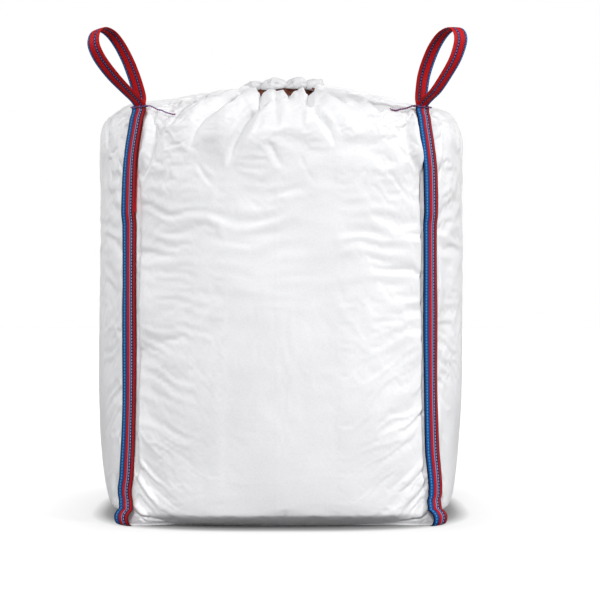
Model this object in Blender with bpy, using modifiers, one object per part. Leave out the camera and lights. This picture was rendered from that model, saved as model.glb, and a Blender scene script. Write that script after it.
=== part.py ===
"""Filled bulk bag of cement: four woven panels, a base, a tied neck and four webbing loops.

The frame stands on the floor: +Z up, the front panel faces -Y, and the origin is the middle of the base.
Run it with blender --background --python part.py, or from Blender's text editor.
"""

import math

import bmesh
import bpy
import numpy as np
from mathutils import Matrix, Vector

# Driving dimensions, in metres
FABRIC = 0.0006  # coated woven polypropylene with its film liner
GAP = 0.0003  # clearance between faces that touch
STRAP_WIDTH = 0.060  # the webbing sewn down each corner
LOOP_WIDTH = 0.050  # the webbing of the lifting loops
WEBBING = 0.002  # thickness of one layer of either
CORD_RADIUS = 0.002  # the cord bound round the foot of each loop

# The filled bag, from the floor to the inside of the neck tie. Each pair is a half width and a height:
# first down the middle of a panel, then along the seam between two panels, where it is both |x| and |y|.
MIDDLE = [
    (0.470, 0.0009), (0.503, 0.020), (0.520, 0.070), (0.534, 0.150), (0.545, 0.270), (0.550, 0.450),
    (0.550, 0.700), (0.5495, 0.900), (0.5495, 1.010), (0.542, 1.088), (0.5165, 1.150), (0.455, 1.192),
    (0.370, 1.214), (0.270, 1.230), (0.180, 1.242), (0.126, 1.250), (0.1005, 1.2565), (0.0990, 1.272),
]
SEAM = [
    (0.425, 0.0009), (0.429, 0.020), (0.430, 0.070), (0.428, 0.150), (0.424, 0.270), (0.4215, 0.450),
    (0.421, 0.700), (0.420, 0.900), (0.416, 1.025), (0.406, 1.108), (0.394, 1.164), (0.360, 1.175),
    (0.300, 1.184), (0.235, 1.221), (0.165, 1.2445), (0.105, 1.2535), (0.0711, 1.2565), (0.0700, 1.272),
]

# Radial pleats where the cloth is gathered to the neck
PLEATS_PER_PANEL = 4
PLEAT_START = 9.5 / (len(MIDDLE) - 1)
PLEAT_DEEPEST = 14.6 / (len(MIDDLE) - 1)
PLEAT_DEPTH = 0.013
PLEAT_DEPTH_AT_NECK = 0.0015

# Sampling of the panels
PANEL_COLUMNS = 16
PANEL_ROWS = 24
SEAM_ALLOWANCE = 0.0020  # each panel stops this far short of the seam line
SHOULDER_ROW = 14  # the last row below the place where the seam turns over the shoulder

# The cement inside
FILL_GAP = 0.0008
FILL_RINGS = 22  # the panels' rows that it reaches up to
FILL_BOTTOM_INSET = 0.004

# Base panel
HEM_LIP = 0.005  # the hem that shows outside the side panels

# Neck: the gathered cloth, and the tape tied round it
NECK_COLUMNS = 32
NECK_PROFILE = [  # radius and height, from the underside to the dimple in the middle
    (0.0600, 1.2395), (0.0880, 1.2400), (0.0885, 1.2560), (0.0920, 1.2600), (0.0950, 1.2680), (0.0960, 1.2723),
    (0.0995, 1.2735), (0.0995, 1.2802), (0.1080, 1.2826), (0.1190, 1.2870), (0.1240, 1.2980), (0.1060, 1.3100),
    (0.0700, 1.3060),
]
NECK_DIMPLE = 1.2960
RUFFLE_LOBES = 8
RUFFLE_LOBE_DEPTH = 0.007
TAPE_INNER_RADIUS = 0.1005
TAPE_THICKNESS = 0.0012
TAPE_HEIGHTS = (1.2605, 1.2800)
TAPE_STEPS = 48

# Corner webbing. Upright places are heights above the floor.
STRAP_TOP = 1.177
LEG_LENGTH = 0.300  # how far a loop's legs run down under the corner strap
LEG_STEP = 0.040  # the height over which the strap comes down onto the seam, below the legs' ends
CURL_RADIUS = 0.025  # the lower end of the strap rolls outwards on the floor
THROAT = 1.179  # where a loop's legs part
LOOP_SAMPLES = 56

# The loops, in the upright plane through each corner: how far out from the bag's axis, and the height.
# Each runs from its outer leg at the throat, round the loop, to its inner leg.
LEFT_LOOP = [
    (0.576, 1.191), (0.606, 1.212), (0.659, 1.250), (0.704, 1.291), (0.727, 1.325), (0.729, 1.350),
    (0.719, 1.369), (0.700, 1.377), (0.668, 1.368), (0.636, 1.341), (0.605, 1.300), (0.581, 1.256),
    (0.5645, 1.216), (0.5595, 1.196),
]
RIGHT_LOOP = [
    (0.576, 1.190), (0.612, 1.214), (0.648, 1.252), (0.680, 1.294), (0.6965, 1.332), (0.699, 1.356),
    (0.690, 1.375), (0.672, 1.384), (0.640, 1.373), (0.610, 1.344), (0.585, 1.302), (0.568, 1.259),
    (0.5605, 1.216), (0.559, 1.195),
]
HANGING_LOOP = [
    (0.569, 1.191), (0.582, 1.197), (0.596, 1.191), (0.606, 1.168), (0.612, 1.130), (0.616, 1.080),
    (0.621, 1.030), (0.632, 0.998), (0.653, 0.983), (0.676, 0.994), (0.689, 1.035), (0.688, 1.100),
    (0.676, 1.160), (0.652, 1.203), (0.620, 1.224), (0.588, 1.225), (0.567, 1.212), (0.5592, 1.196),
]

# Each corner: the signs of x and y, and its loop
CORNERS = {
    "front_left": ((-1, -1), LEFT_LOOP),
    "front_right": ((1, -1), RIGHT_LOOP),
    "rear_left": ((-1, 1), HANGING_LOOP),
    "rear_right": ((1, 1), HANGING_LOOP),
}
PANEL_TURNS = {"front_panel": 0, "right_panel": 90, "back_panel": 180, "left_panel": 270}

# The cords bound round the loops, and their free ends, which lie on the front of the shoulder
BINDING_HEIGHT = 1.1725
TAIL_SAMPLES = 10
TAILS = {
    "front_left": [
        (-0.37335, -0.42230, 1.1725), (-0.3665, -0.4285, 1.1725), (-0.3560, -0.4310, 1.1680),
        (-0.3452, -0.4310, 1.1622), (-0.3334, -0.4365, 1.1590), (-0.3214, -0.4468, 1.1526),
        (-0.3066, -0.4572, 1.1470), (-0.2984, -0.4619, 1.1448), (-0.2924, -0.4648, 1.1443),
    ],
    "front_right": [
        (0.37335, -0.42230, 1.1725), (0.3665, -0.4285, 1.1725), (0.3560, -0.4310, 1.1680),
        (0.3449, -0.4318, 1.1640), (0.3335, -0.4340, 1.1626), (0.3242, -0.4412, 1.1590),
        (0.3186, -0.4446, 1.1580), (0.3097, -0.4480, 1.1587), (0.3014, -0.4486, 1.1618),
    ],
}


# Materials
def material(name, colour, roughness):
    """A plain finish of that colour."""
    made = bpy.data.materials.new(name)
    made.use_nodes = True
    shader = made.node_tree.nodes["Principled BSDF"]
    shader.inputs["Base Color"].default_value = (*colour, 1.0)
    shader.inputs["Roughness"].default_value = roughness
    return made


# Collections and objects
def clear_scene():
    for item in list(bpy.data.objects):
        bpy.data.objects.remove(item)


def add_object(name, data, finish, collection):
    item = bpy.data.objects.new(name, data)
    item.data.materials.append(finish)
    collection.objects.link(item)
    return item


# The shape of the filled bag
def along(points, share):
    """A smooth curve through the points (Catmull-Rom), read at each share of the way from 0 to 1."""
    known = np.array(points, float)
    known = np.vstack([2 * known[0] - known[1], known, 2 * known[-1] - known[-2]])
    place = np.clip(np.asarray(share, float), 0, 1) * (len(points) - 1)
    first = np.minimum(place.astype(int), len(points) - 2)
    t = (place - first)[..., None]
    a, b, c, d = (known[first + i] for i in range(4))
    return 0.5 * (2 * b + (c - a) * t + (2 * a - 5 * b + 4 * c - d) * t**2 + (3 * b - a - 3 * c + d) * t**3)


def smooth_step(value, low, high):
    t = np.clip((np.asarray(value, float) - low) / (high - low), 0, 1)
    return t * t * (3 - 2 * t)


def pleat_depth(height_share):
    """How deep the valleys between the pleats are: none at the shoulder, deepest near the neck."""
    grown = PLEAT_DEPTH * smooth_step(height_share, PLEAT_START, PLEAT_DEEPEST) ** 2
    closing = smooth_step(height_share, PLEAT_DEEPEST, 1.0)
    return grown + (PLEAT_DEPTH_AT_NECK - grown) * closing


def smooth_skin(across, height_share):
    """The front panel without pleats: at each height a circular arc from seam to seam.

    across runs from -1 at the left seam to 1 at the right one.
    """
    middle, seam = along(MIDDLE, height_share), along(SEAM, height_share)
    half, bulge = seam[..., 0], middle[..., 0] - seam[..., 0]
    radius = (half**2 + bulge**2) / (2 * bulge)
    angle = across * np.arcsin(half / radius)
    x = radius * np.sin(angle)
    y = -(middle[..., 0] - radius + radius * np.cos(angle))
    z = seam[..., 1] + (middle[..., 1] - seam[..., 1]) * (1 - across**2)
    return np.stack([x, y, z], axis=-1)


def pressed_in(across, height_share, depth):
    """The smooth skin moved inwards by a depth, which is measured square to the skin.

    Each point moves in the upright plane through the bag's axis, so neighbouring panels still meet at
    their seam. The skin's normal comes from small steps across and up.
    """
    step = 1e-4
    low, high = np.clip(height_share - step, 0, 1), np.clip(height_share + step, 0, 1)
    skin = smooth_skin(across, height_share)
    sideways = smooth_skin(across + step, height_share) - smooth_skin(across - step, height_share)
    normal = np.cross(sideways, smooth_skin(across, high) - smooth_skin(across, low))
    normal /= np.linalg.norm(normal, axis=-1, keepdims=True)
    around = np.cross((0, 0, 1), skin)
    around /= np.linalg.norm(around, axis=-1, keepdims=True)
    in_plane = normal - (normal * around).sum(axis=-1, keepdims=True) * around
    return skin - np.asarray(depth)[..., None] * in_plane / (in_plane**2).sum(axis=-1, keepdims=True)


def panel_skin(across, height_share):
    """The outer face of the front panel, with its pleats: a fold along each seam, and valleys between folds."""
    wave = (1 - np.cos(math.pi * PLEATS_PER_PANEL * across)) / 2
    return pressed_in(across, height_share, pleat_depth(height_share) * wave)


def turned(points, degrees):
    """The points turned about the upright axis."""
    a = math.radians(degrees)
    turn = np.array([[math.cos(a), -math.sin(a), 0], [math.sin(a), math.cos(a), 0], [0, 0, 1]])
    return points @ turn.T


# Cloth panels
def share_diagonals(item):
    """The same diagonal in each quad of the cloth and of the cement under it, so that they don't cross."""
    triangles = item.modifiers.new("Shared diagonals", "TRIANGULATE")
    triangles.quad_method = "SHORTEST_DIAGONAL"


def make_panel(name, degrees, finish, collection):
    """A grid laid over one side of the bag, then given the cloth's thickness inwards."""
    form = bmesh.new()
    bmesh.ops.create_grid(form, x_segments=PANEL_COLUMNS, y_segments=PANEL_ROWS, size=1.0)
    grid = np.array([v.co for v in form.verts])
    panel_width = 2 * MIDDLE[5][0]
    across = grid[:, 0] * (1 - 2 * SEAM_ALLOWANCE / panel_width)
    places = turned(panel_skin(across, (grid[:, 1] + 1) / 2), degrees)
    for vertex, place in zip(form.verts, places):
        vertex.co = place
    mesh = bpy.data.meshes.new(name)
    form.to_mesh(mesh)
    form.free()
    mesh.shade_smooth()
    item = add_object(name, mesh, finish, collection)
    share_diagonals(item)
    cloth = item.modifiers.new("Cloth thickness", "SOLIDIFY")
    cloth.thickness = FABRIC
    cloth.offset = -1
    return item


def make_base(finish, collection):
    """The flat base sheet: the outline of the panels' lower edge, and its hem outside them."""
    outline = bpy.data.curves.new("base_panel", "CURVE")
    outline.dimensions = "2D"
    outline.fill_mode = "BOTH"
    outline.extrude = FABRIC / 2
    across = np.linspace(-1, 1, PANEL_COLUMNS + 1)[:-1]
    edge = smooth_skin(across, np.zeros(len(across)))
    points = np.vstack([turned(edge, degrees) for degrees in PANEL_TURNS.values()])[:, :2]
    points *= 1 + HEM_LIP / np.linalg.norm(points, axis=1)[:, None]
    spline = outline.splines.new("POLY")
    spline.points.add(len(points) - 1)
    for knot, (x, y) in zip(spline.points, points):
        knot.co = (x, y, 0, 1)
    spline.use_cyclic_u = True
    item = add_object("base_panel", outline, finish, collection)
    item.location.z = FABRIC / 2
    return item


# The cement
def make_fill(finish, collection):
    """A UV sphere whose rings are moved onto the rows of the bag, just inside the cloth."""
    columns = 4 * PANEL_COLUMNS
    form = bmesh.new()
    bmesh.ops.create_uvsphere(form, u_segments=columns, v_segments=FILL_RINGS + 1, radius=1.0)
    for vertex in form.verts:
        latitude = math.asin(max(-1.0, min(1.0, vertex.co.z)))
        ring = round((latitude / math.pi + 0.5) * (FILL_RINGS + 1))
        share = np.array((min(ring, FILL_RINGS) - 1) / PANEL_ROWS)
        inset = FABRIC + FILL_GAP + pleat_depth(share)
        if ring == 0:
            vertex.co = (0, 0, FABRIC + GAP)
        elif ring > FILL_RINGS:
            vertex.co = (0, 0, smooth_skin(np.array(0.0), share)[2] - inset)
        else:
            turn = math.degrees(math.atan2(vertex.co.x, -vertex.co.y)) % 360
            side = round(turn / 90) % 4
            across = np.array(((turn - 90 * side + 180) % 360 - 180) / 45)
            place = pressed_in(across, share, inset)
            if ring == 1:
                place[:2] *= 1 - FILL_BOTTOM_INSET / MIDDLE[0][0]
                place[2] = FABRIC + GAP
            vertex.co = turned(place, 90 * side)
    mesh = bpy.data.meshes.new("cement_fill")
    form.to_mesh(mesh)
    form.free()
    item = add_object("cement_fill", mesh, finish, collection)
    share_diagonals(item)
    return item


# The tied neck
def make_neck(finish, collection):
    """The bunched cloth in the neck and the ruffle that flares out above the tape, from one sphere."""
    rings = len(NECK_PROFILE)
    form = bmesh.new()
    bmesh.ops.create_uvsphere(form, u_segments=NECK_COLUMNS, v_segments=rings + 1, radius=1.0)
    for vertex in form.verts:
        latitude = math.asin(max(-1.0, min(1.0, vertex.co.z)))
        ring = round((latitude / math.pi + 0.5) * (rings + 1))
        if ring == 0:
            vertex.co = (0, 0, NECK_PROFILE[0][1])
        elif ring > rings:
            vertex.co = (0, 0, NECK_DIMPLE)
        else:
            radius, height = NECK_PROFILE[ring - 1]
            bearing = math.atan2(vertex.co.y, vertex.co.x)
            if height > TAPE_HEIGHTS[1] + 0.001:
                radius += RUFFLE_LOBE_DEPTH / 2 * math.cos(RUFFLE_LOBES * bearing)
            vertex.co = (radius * math.cos(bearing), radius * math.sin(bearing), height)
    mesh = bpy.data.meshes.new("gathered_neck")
    form.to_mesh(mesh)
    form.free()
    return add_object("gathered_neck", mesh, finish, collection)


def make_tape(finish, collection):
    """The flat tape tied round the neck, as a turned ring."""
    low, high = TAPE_HEIGHTS
    inner, outer = TAPE_INNER_RADIUS, TAPE_INNER_RADIUS + TAPE_THICKNESS
    mesh = bpy.data.meshes.new("neck_tape")
    corners = [(outer, 0, high), (outer, 0, low), (inner, 0, low), (inner, 0, high)]
    mesh.from_pydata(corners, [(i, (i + 1) % 4) for i in range(4)], [])
    item = add_object("neck_tape", mesh, finish, collection)
    turn = item.modifiers.new("Turn", "SCREW")
    turn.steps = turn.render_steps = TAPE_STEPS
    turn.use_merge_vertices = True
    turn.merge_threshold = 0.0001
    return item


# Corner webbing, drawn in the upright plane through the corner: outwards from the axis, and up
def seam_rows():
    """Where the panels' rows meet the seam, up to the shoulder: distances from the axis, and heights."""
    rows = along(SEAM, np.arange(SHOULDER_ROW + 1) / PANEL_ROWS)
    return rows * (math.sqrt(2), 1)


def seam_distance(heights):
    rows = seam_rows()
    return np.interp(heights, rows[:, 1], rows[:, 0])


def layer(number, heights):
    """The middle line of a layer of webbing laid over the seam, counted outwards from 0."""
    distance = seam_distance(heights) + GAP + WEBBING / 2 + number * (WEBBING + GAP)
    return np.stack([distance, heights], axis=1)


def strip(path):
    """The closed outline of a length of webbing that follows the path."""
    direction = np.gradient(path, axis=0)
    direction /= np.linalg.norm(direction, axis=1)[:, None]
    side = WEBBING / 2 * np.stack([direction[:, 1], -direction[:, 0]], axis=1)
    return np.vstack([path + side, (path - side)[::-1]])


def corner_frame(corner):
    """Axes outwards from that corner, upwards, and across the webbing."""
    outwards = Vector((*corner, 0)).normalized()
    up = Vector((0, 0, 1))
    return Matrix((outwards, up, outwards.cross(up))).transposed().to_4x4()


def make_webbing(name, path, width, corner, finish, collection):
    """A length of webbing: its outline in the corner's upright plane, extruded to its width."""
    outline = strip(path)
    curve = bpy.data.curves.new(name, "CURVE")
    curve.dimensions = "2D"
    curve.fill_mode = "BOTH"
    curve.extrude = width / 2
    spline = curve.splines.new("POLY")
    spline.points.add(len(outline) - 1)
    for knot, (outwards, up) in zip(spline.points, outline):
        knot.co = (outwards, up, 0, 1)
    spline.use_cyclic_u = True
    item = add_object(name, curve, finish, collection)
    item.matrix_world = corner_frame(corner)
    return item


def strap_path():
    """Down the seam, first over the loop's two legs and then on the seam itself, and round the curl."""
    legs_end = STRAP_TOP - LEG_LENGTH
    rows = seam_rows()[:, 1]
    step = np.linspace(legs_end - LEG_STEP, legs_end, 5)
    curl_top = 2 * CURL_RADIUS
    heights = np.union1d(rows[(rows > 1.4 * curl_top) & (rows < STRAP_TOP)], np.append(step, STRAP_TOP))
    raised = smooth_step(heights, step[0], step[-1])[:, None]
    run = layer(0, heights) + raised * (layer(2, heights) - layer(0, heights))
    middle = layer(0, np.array([curl_top]))[0] + (0.004, -CURL_RADIUS)
    angles = np.radians(np.linspace(-90, 80, 14))
    curl = middle + (CURL_RADIUS - WEBBING / 2) * np.stack([np.cos(angles), np.sin(angles)], axis=1)
    return np.vstack([curl, run])


def loop_path(points):
    """Up the outer leg, round the loop and down the inner leg."""
    rows = seam_rows()[:, 1]
    low = STRAP_TOP - LEG_LENGTH
    heights = np.concatenate([[low], rows[(rows > low) & (rows < THROAT)], [THROAT]])
    outer, inner = layer(1, heights), layer(0, heights)[::-1]
    loop = along([outer[-1], *points, inner[0]], np.linspace(0, 1, LOOP_SAMPLES + 1)[1:-1])
    return np.vstack([outer, loop, inner])


def make_cord(name, points, cyclic, finish, collection):
    curve = bpy.data.curves.new(name, "CURVE")
    curve.dimensions = "3D"
    curve.bevel_depth = CORD_RADIUS
    curve.bevel_resolution = 2
    curve.use_fill_caps = True
    spline = curve.splines.new("POLY")
    spline.points.add(len(points) - 1)
    for knot, point in zip(spline.points, points):
        knot.co = (*point, 1)
    spline.use_cyclic_u = cyclic
    return add_object(name, curve, finish, collection)


def make_binding(name, corner, finish, collection):
    """The cord bound once round the strap and the loop's legs, with rounded corners."""
    clear = CORD_RADIUS + GAP
    height = np.array([BINDING_HEIGHT])
    inner, outer = layer(0, height)[0, 0] - WEBBING / 2, layer(2, height)[0, 0] + WEBBING / 2
    points = []
    for quarter, (out, side) in enumerate([(outer, 1), (inner, 1), (inner, -1), (outer, -1)]):
        for angle in np.radians(90 * quarter + np.array([0, 30, 60, 90])):
            across = side * STRAP_WIDTH / 2 + clear * math.sin(angle)
            points.append((out + clear * math.cos(angle), BINDING_HEIGHT, across))
    item = make_cord(name, points, True, finish, collection)
    item.matrix_world = corner_frame(corner)
    return item


def main():
    clear_scene()
    bag = bpy.data.collections.new("bulk_cement_bag")
    bpy.context.scene.collection.children.link(bag)
    cloth = material("white_woven_polypropylene", (0.80, 0.80, 0.81), 0.6)
    powder = material("grey_cement", (0.30, 0.30, 0.29), 0.95)
    webbing = material("red_and_blue_webbing", (0.45, 0.02, 0.03), 0.6)
    cord = material("blue_binding_cord", (0.05, 0.12, 0.40), 0.6)
    brown = material("brown_tape", (0.22, 0.07, 0.035), 0.7)
    for name, degrees in PANEL_TURNS.items():
        make_panel(name, degrees, cloth, bag)
    make_base(cloth, bag)
    make_fill(powder, bag)
    make_neck(cloth, bag)
    make_tape(brown, bag)
    for place, (corner, loop) in CORNERS.items():
        make_webbing(f"corner_strap_{place}", strap_path(), STRAP_WIDTH, corner, webbing, bag)
        make_webbing(f"lifting_loop_{place}", loop_path(loop), LOOP_WIDTH, corner, webbing, bag)
        make_binding(f"loop_binding_{place}", corner, cord, bag)
    for place, points in TAILS.items():
        path = along(points, np.linspace(0, 1, TAIL_SAMPLES))
        make_cord(f"binding_tail_{place}", path, False, cord, bag)


main()
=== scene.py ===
# %% [markdown]
# # A filled bulk bag of cement
#
# The bag is four panels of white woven polypropylene, sewn together at the corners under red and blue
# webbing, filled with cement and tied at the neck with a brown tape. The solids that the CAD model gives
# it are plain. This lesson builds the cloth with its pleats and wrinkles, the webbing with its stripes
# and stitches, and the cords, round those solids and in the same frame: metres, +Z up, the front
# towards -Y, and the origin in the middle of the base.

import math
import time

import bpy
import numpy as np
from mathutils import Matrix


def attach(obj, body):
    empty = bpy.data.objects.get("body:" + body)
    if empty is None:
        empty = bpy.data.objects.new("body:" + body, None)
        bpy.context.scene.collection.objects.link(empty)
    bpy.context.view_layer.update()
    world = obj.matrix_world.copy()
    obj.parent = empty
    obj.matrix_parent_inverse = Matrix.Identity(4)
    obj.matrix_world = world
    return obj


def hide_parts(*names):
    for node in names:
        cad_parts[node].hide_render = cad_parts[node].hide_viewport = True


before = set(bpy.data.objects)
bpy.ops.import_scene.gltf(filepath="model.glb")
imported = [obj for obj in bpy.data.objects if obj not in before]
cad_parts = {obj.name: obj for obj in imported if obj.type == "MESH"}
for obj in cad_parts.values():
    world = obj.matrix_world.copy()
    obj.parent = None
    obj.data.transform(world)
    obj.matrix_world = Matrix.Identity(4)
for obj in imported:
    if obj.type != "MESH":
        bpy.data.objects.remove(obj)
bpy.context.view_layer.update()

# %% [markdown]
# ## Camera
#
# The photograph looks almost level at the bag from about five metres away. A long lens on the usual
# 36 mm sensor gives that view. The lens is shifted a little sideways instead of being turned, because a
# turned camera would make the upright edges lean.

# %% Camera
IMAGE = 600  # the picture's width and height in pixels
PIXELS_PER_SLOPE = 1636  # how many pixels one metre spans, one metre away
CAMERA_DISTANCE = 5.0  # from the bag's axis
CAMERA_HEIGHT = 0.63
AXIS_PIXEL = 281  # the column of the picture where the bag's axis stands

camera_data = bpy.data.cameras.new("camera")
camera_data.sensor_width = 36
camera_data.lens = 36 * PIXELS_PER_SLOPE / IMAGE
camera_data.shift_x = (IMAGE / 2 - AXIS_PIXEL) / IMAGE
camera = bpy.data.objects.new("camera", camera_data)
camera.location = (0, -CAMERA_DISTANCE, CAMERA_HEIGHT)
camera.rotation_euler = (math.radians(90), 0, 0)
bpy.context.scene.collection.objects.link(camera)
bpy.context.scene.camera = camera
bpy.context.scene.view_settings.view_transform = "Standard"
print(f"lens {camera_data.lens:.1f} mm, shift {camera_data.shift_x:.4f}")

# %% [markdown]
# ## Three helpers for meshes
#
# Nearly every piece here is a sheet of points: a shape worked out as one array of rows and columns. The
# first helper turns such an array into a mesh, with a UV map in metres, so that a weave or a row of
# stitches can be drawn at its real size. The second puts several meshes into one. The third says what the
# piece is to the frame: what it rides on, what CAD solid it stands for, and its finish.

# %% Helpers for meshes
def grid_faces(rows, columns, round_rows=False, round_columns=False):
    """Quads between neighbours of a grid of points; a round direction joins its end to its start."""
    i = np.arange(rows if round_rows else rows - 1)[:, None]
    j = np.arange(columns if round_columns else columns - 1)[None, :]
    up, right = (i + 1) % rows, (j + 1) % columns
    corners = [i * columns + j, i * columns + right, up * columns + right, up * columns + j]
    return np.stack([c + 0 * (i + j) for c in corners], axis=-1).reshape(-1, 4)


def grid_uv(rows, columns, round_rows=False, round_columns=False):
    """For each face corner, its row and column, counted on past the join of a round direction."""
    i = np.arange(rows if round_rows else rows - 1)[:, None]
    j = np.arange(columns if round_columns else columns - 1)[None, :]
    both = i + j
    pairs = [(i, j), (i, j + 1), (i + 1, j + 1), (i + 1, j)]
    return np.stack([np.stack([a + 0 * both, b + 0 * both], axis=-1) for a, b in pairs], axis=-2)


def mesh_from(name, points, faces, uv=None, caps=()):
    """A mesh of points and quads. Each corner of a face has a UV pair, and caps are rings that close it."""
    mesh = bpy.data.meshes.new(name)
    rings = [np.asarray(ring, int) for ring in caps]
    corners = np.concatenate([np.asarray(faces, int).ravel(), *rings])
    sizes = np.array([4] * len(faces) + [len(ring) for ring in rings])
    mesh.vertices.add(points.size // 3)
    mesh.vertices.foreach_set("co", np.ascontiguousarray(points, np.float32).ravel())
    mesh.loops.add(len(corners))
    mesh.loops.foreach_set("vertex_index", corners.astype(np.int32))
    mesh.polygons.add(len(sizes))
    mesh.polygons.foreach_set("loop_start", (np.cumsum(sizes) - sizes).astype(np.int32))
    mesh.update(calc_edges=True)
    if uv is not None:
        pairs = np.asarray(uv, np.float32).reshape(-1, 2)
        pairs = np.vstack([pairs, np.repeat(pairs[-1:], len(corners) - len(pairs), axis=0)])
        mesh.uv_layers.new(name="UVMap").data.foreach_set("uv", pairs.ravel())
    mesh.validate()
    mesh.shade_smooth()
    return mesh


def place_piece(name, mesh, finish, nodes=()):
    """An object for the mesh: it rides on the bag, takes the slot's finish and stands for the CAD nodes."""
    piece = bpy.data.objects.new(name, mesh)
    bpy.context.scene.collection.objects.link(piece)
    piece.data.materials.append(finish)
    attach(piece, "root")
    for node in nodes:
        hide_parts(node)
    return piece


def along(points, share):
    """A smooth curve through the points (Catmull-Rom), read at each share of the way from 0 to 1.

    A point may itself be an array, such as a whole row of a grid. One more point is set out in line past
    each end, so that the curve reaches both ends.
    """
    known = np.array(points, float)
    known = np.concatenate([2 * known[:1] - known[1:2], known, 2 * known[-1:] - known[-2:-1]])
    place = np.clip(np.asarray(share, float), 0, 1) * (len(points) - 1)
    first = np.minimum(place.astype(int), len(points) - 2)
    t = (place - first).reshape(*place.shape, *[1] * (known.ndim - 1))
    a, b, c, d = (known[first + i] for i in range(4))
    return 0.5 * (2 * b + (c - a) * t + (2 * a - 5 * b + 4 * c - d) * t**2 + (3 * b - a - 3 * c + d) * t**3)


def smooth_step(value, low, high):
    """0 below low, 1 above high, and an S-shaped curve between them."""
    t = np.clip((np.asarray(value, float) - low) / (high - low), 0, 1)
    return t * t * (3 - 2 * t)


def unit(vectors):
    """Each vector divided by its own length."""
    return vectors / np.maximum(np.linalg.norm(vectors, axis=-1, keepdims=True), 1e-12)


def turned(points, degrees):
    """The points turned about the upright axis."""
    a = math.radians(degrees)
    turn = np.array([[math.cos(a), -math.sin(a), 0], [math.sin(a), math.cos(a), 0], [0, 0, 1]])
    return points @ turn.T


print("helpers ready")

# %% [markdown]
# ## One helper for materials
#
# A material is a small graph of nodes. Each call adds one node: its own settings, then a value or a link
# for each of its sockets. Colours are written as in a paint program and turned into linear light here.

# %% Helpers for materials
def linear(colour):
    """A colour such as "#c81e26" as linear red, green, blue and alpha."""
    shares = np.array([int(colour[i : i + 2], 16) for i in (1, 3, 5)]) / 255
    values = np.where(shares <= 0.04045, shares / 12.92, ((shares + 0.055) / 1.055) ** 2.4)
    return (*values.tolist(), 1.0)


def add(tree, kind, sockets=None, stops=None, **settings):
    """Adds a node. sockets maps a socket's name or number to a value or to another node's output.

    stops are a colour ramp's places and colours.
    """
    made = tree.nodes.new(kind)
    for key, value in settings.items():
        setattr(made, key, value)
    for key, value in (sockets or {}).items():
        if isinstance(value, bpy.types.NodeSocket):
            tree.links.new(value, made.inputs[key])
        else:
            made.inputs[key].default_value = value
    if stops:
        ramp = made.color_ramp.elements
        while len(ramp) < len(stops):
            ramp.new(0.5)
        for element, (place, colour) in zip(ramp, stops):
            element.position = place
            element.color = linear(colour)
    return made


def new_material(name):
    """An empty material with its shader, and the tree to add nodes to."""
    made = bpy.data.materials.new(name)
    made.use_nodes = True
    return made, made.node_tree, made.node_tree.nodes["Principled BSDF"]


def use(tree, shader, name, source):
    """Links an output to one of the shader's sockets."""
    tree.links.new(source, shader.inputs[name])


print("material helpers ready")

# %% [markdown]
# ## The cords' finish
#
# The cords bound round the loops are two strands of polypropylene yarn, one blue and one red, twisted
# together. Each strand's UV map runs from 0 to 1 round the first strand and from 1 to 2 round the second,
# so one material gives both their colours. Fine lines along the twist stand for the yarn's filaments.

# %% Cord material
TUFTS = 420.0  # changes of tone along the yarn, each about 2.4 mm long
FILAMENTS = 2.5  # lines round a strand, drawn coarser than the real ones so that they show


def cord_material(name, blue, red):
    """A blue and a red strand, told apart by the UV map's first number, with lines along both."""
    made, tree, shader = new_material(name)
    uv = add(tree, "ShaderNodeUVMap", uv_map="UVMap")
    parts = add(tree, "ShaderNodeSeparateXYZ", {0: uv.outputs[0]})
    second = add(tree, "ShaderNodeMath", {0: parts.outputs[0], 1: 1.0}, operation="GREATER_THAN")
    noise = add(tree, "ShaderNodeTexNoise", {"Vector": uv.outputs[0], "Scale": TUFTS, "Detail": 2.0})
    shade = add(tree, "ShaderNodeValToRGB", {0: noise.outputs[0]}, [(0.3, "#b8b8b8"), (0.75, "#ffffff")])
    strand = add(
        tree, "ShaderNodeMix", {0: second.outputs[0], 6: linear(blue), 7: linear(red)}, data_type="RGBA",
    )
    tint = add(
        tree, "ShaderNodeMix", {0: 1.0, 6: strand.outputs[2], 7: shade.outputs[0]},
        data_type="RGBA", blend_type="MULTIPLY",
    )
    lines = add(
        tree, "ShaderNodeTexWave", {"Vector": uv.outputs[0], "Scale": FILAMENTS, "Distortion": 0.6},
        bands_direction="X",
    )
    bump = add(tree, "ShaderNodeBump", {"Height": lines.outputs[1], "Strength": 0.5, "Distance": 0.0003})
    use(tree, shader, "Base Color", tint.outputs[2])
    use(tree, shader, "Normal", bump.outputs[0])
    shader.inputs["Roughness"].default_value = 0.55
    shader.inputs["Sheen Weight"].default_value = 0.2
    return made


PALE_CORD = cord_material("pale_blue_and_red_yarn", "#4479d2", "#bc3146")
DEEP_CORD = cord_material("blue_and_red_yarn", "#1c429a", "#b4242f")
print("cord finishes:", PALE_CORD.name, DEEP_CORD.name)

# %% [markdown]
# ## The binding tails
#
# Where the cord round each front loop ends, eight to ten centimetres of it are left over. They lie on
# the cloth of the shoulder. A cord could be a curve with a round bevel, but then its twist would be only
# a picture. Here two thin tubes wind round each other along the route, as the two strands do.

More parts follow.
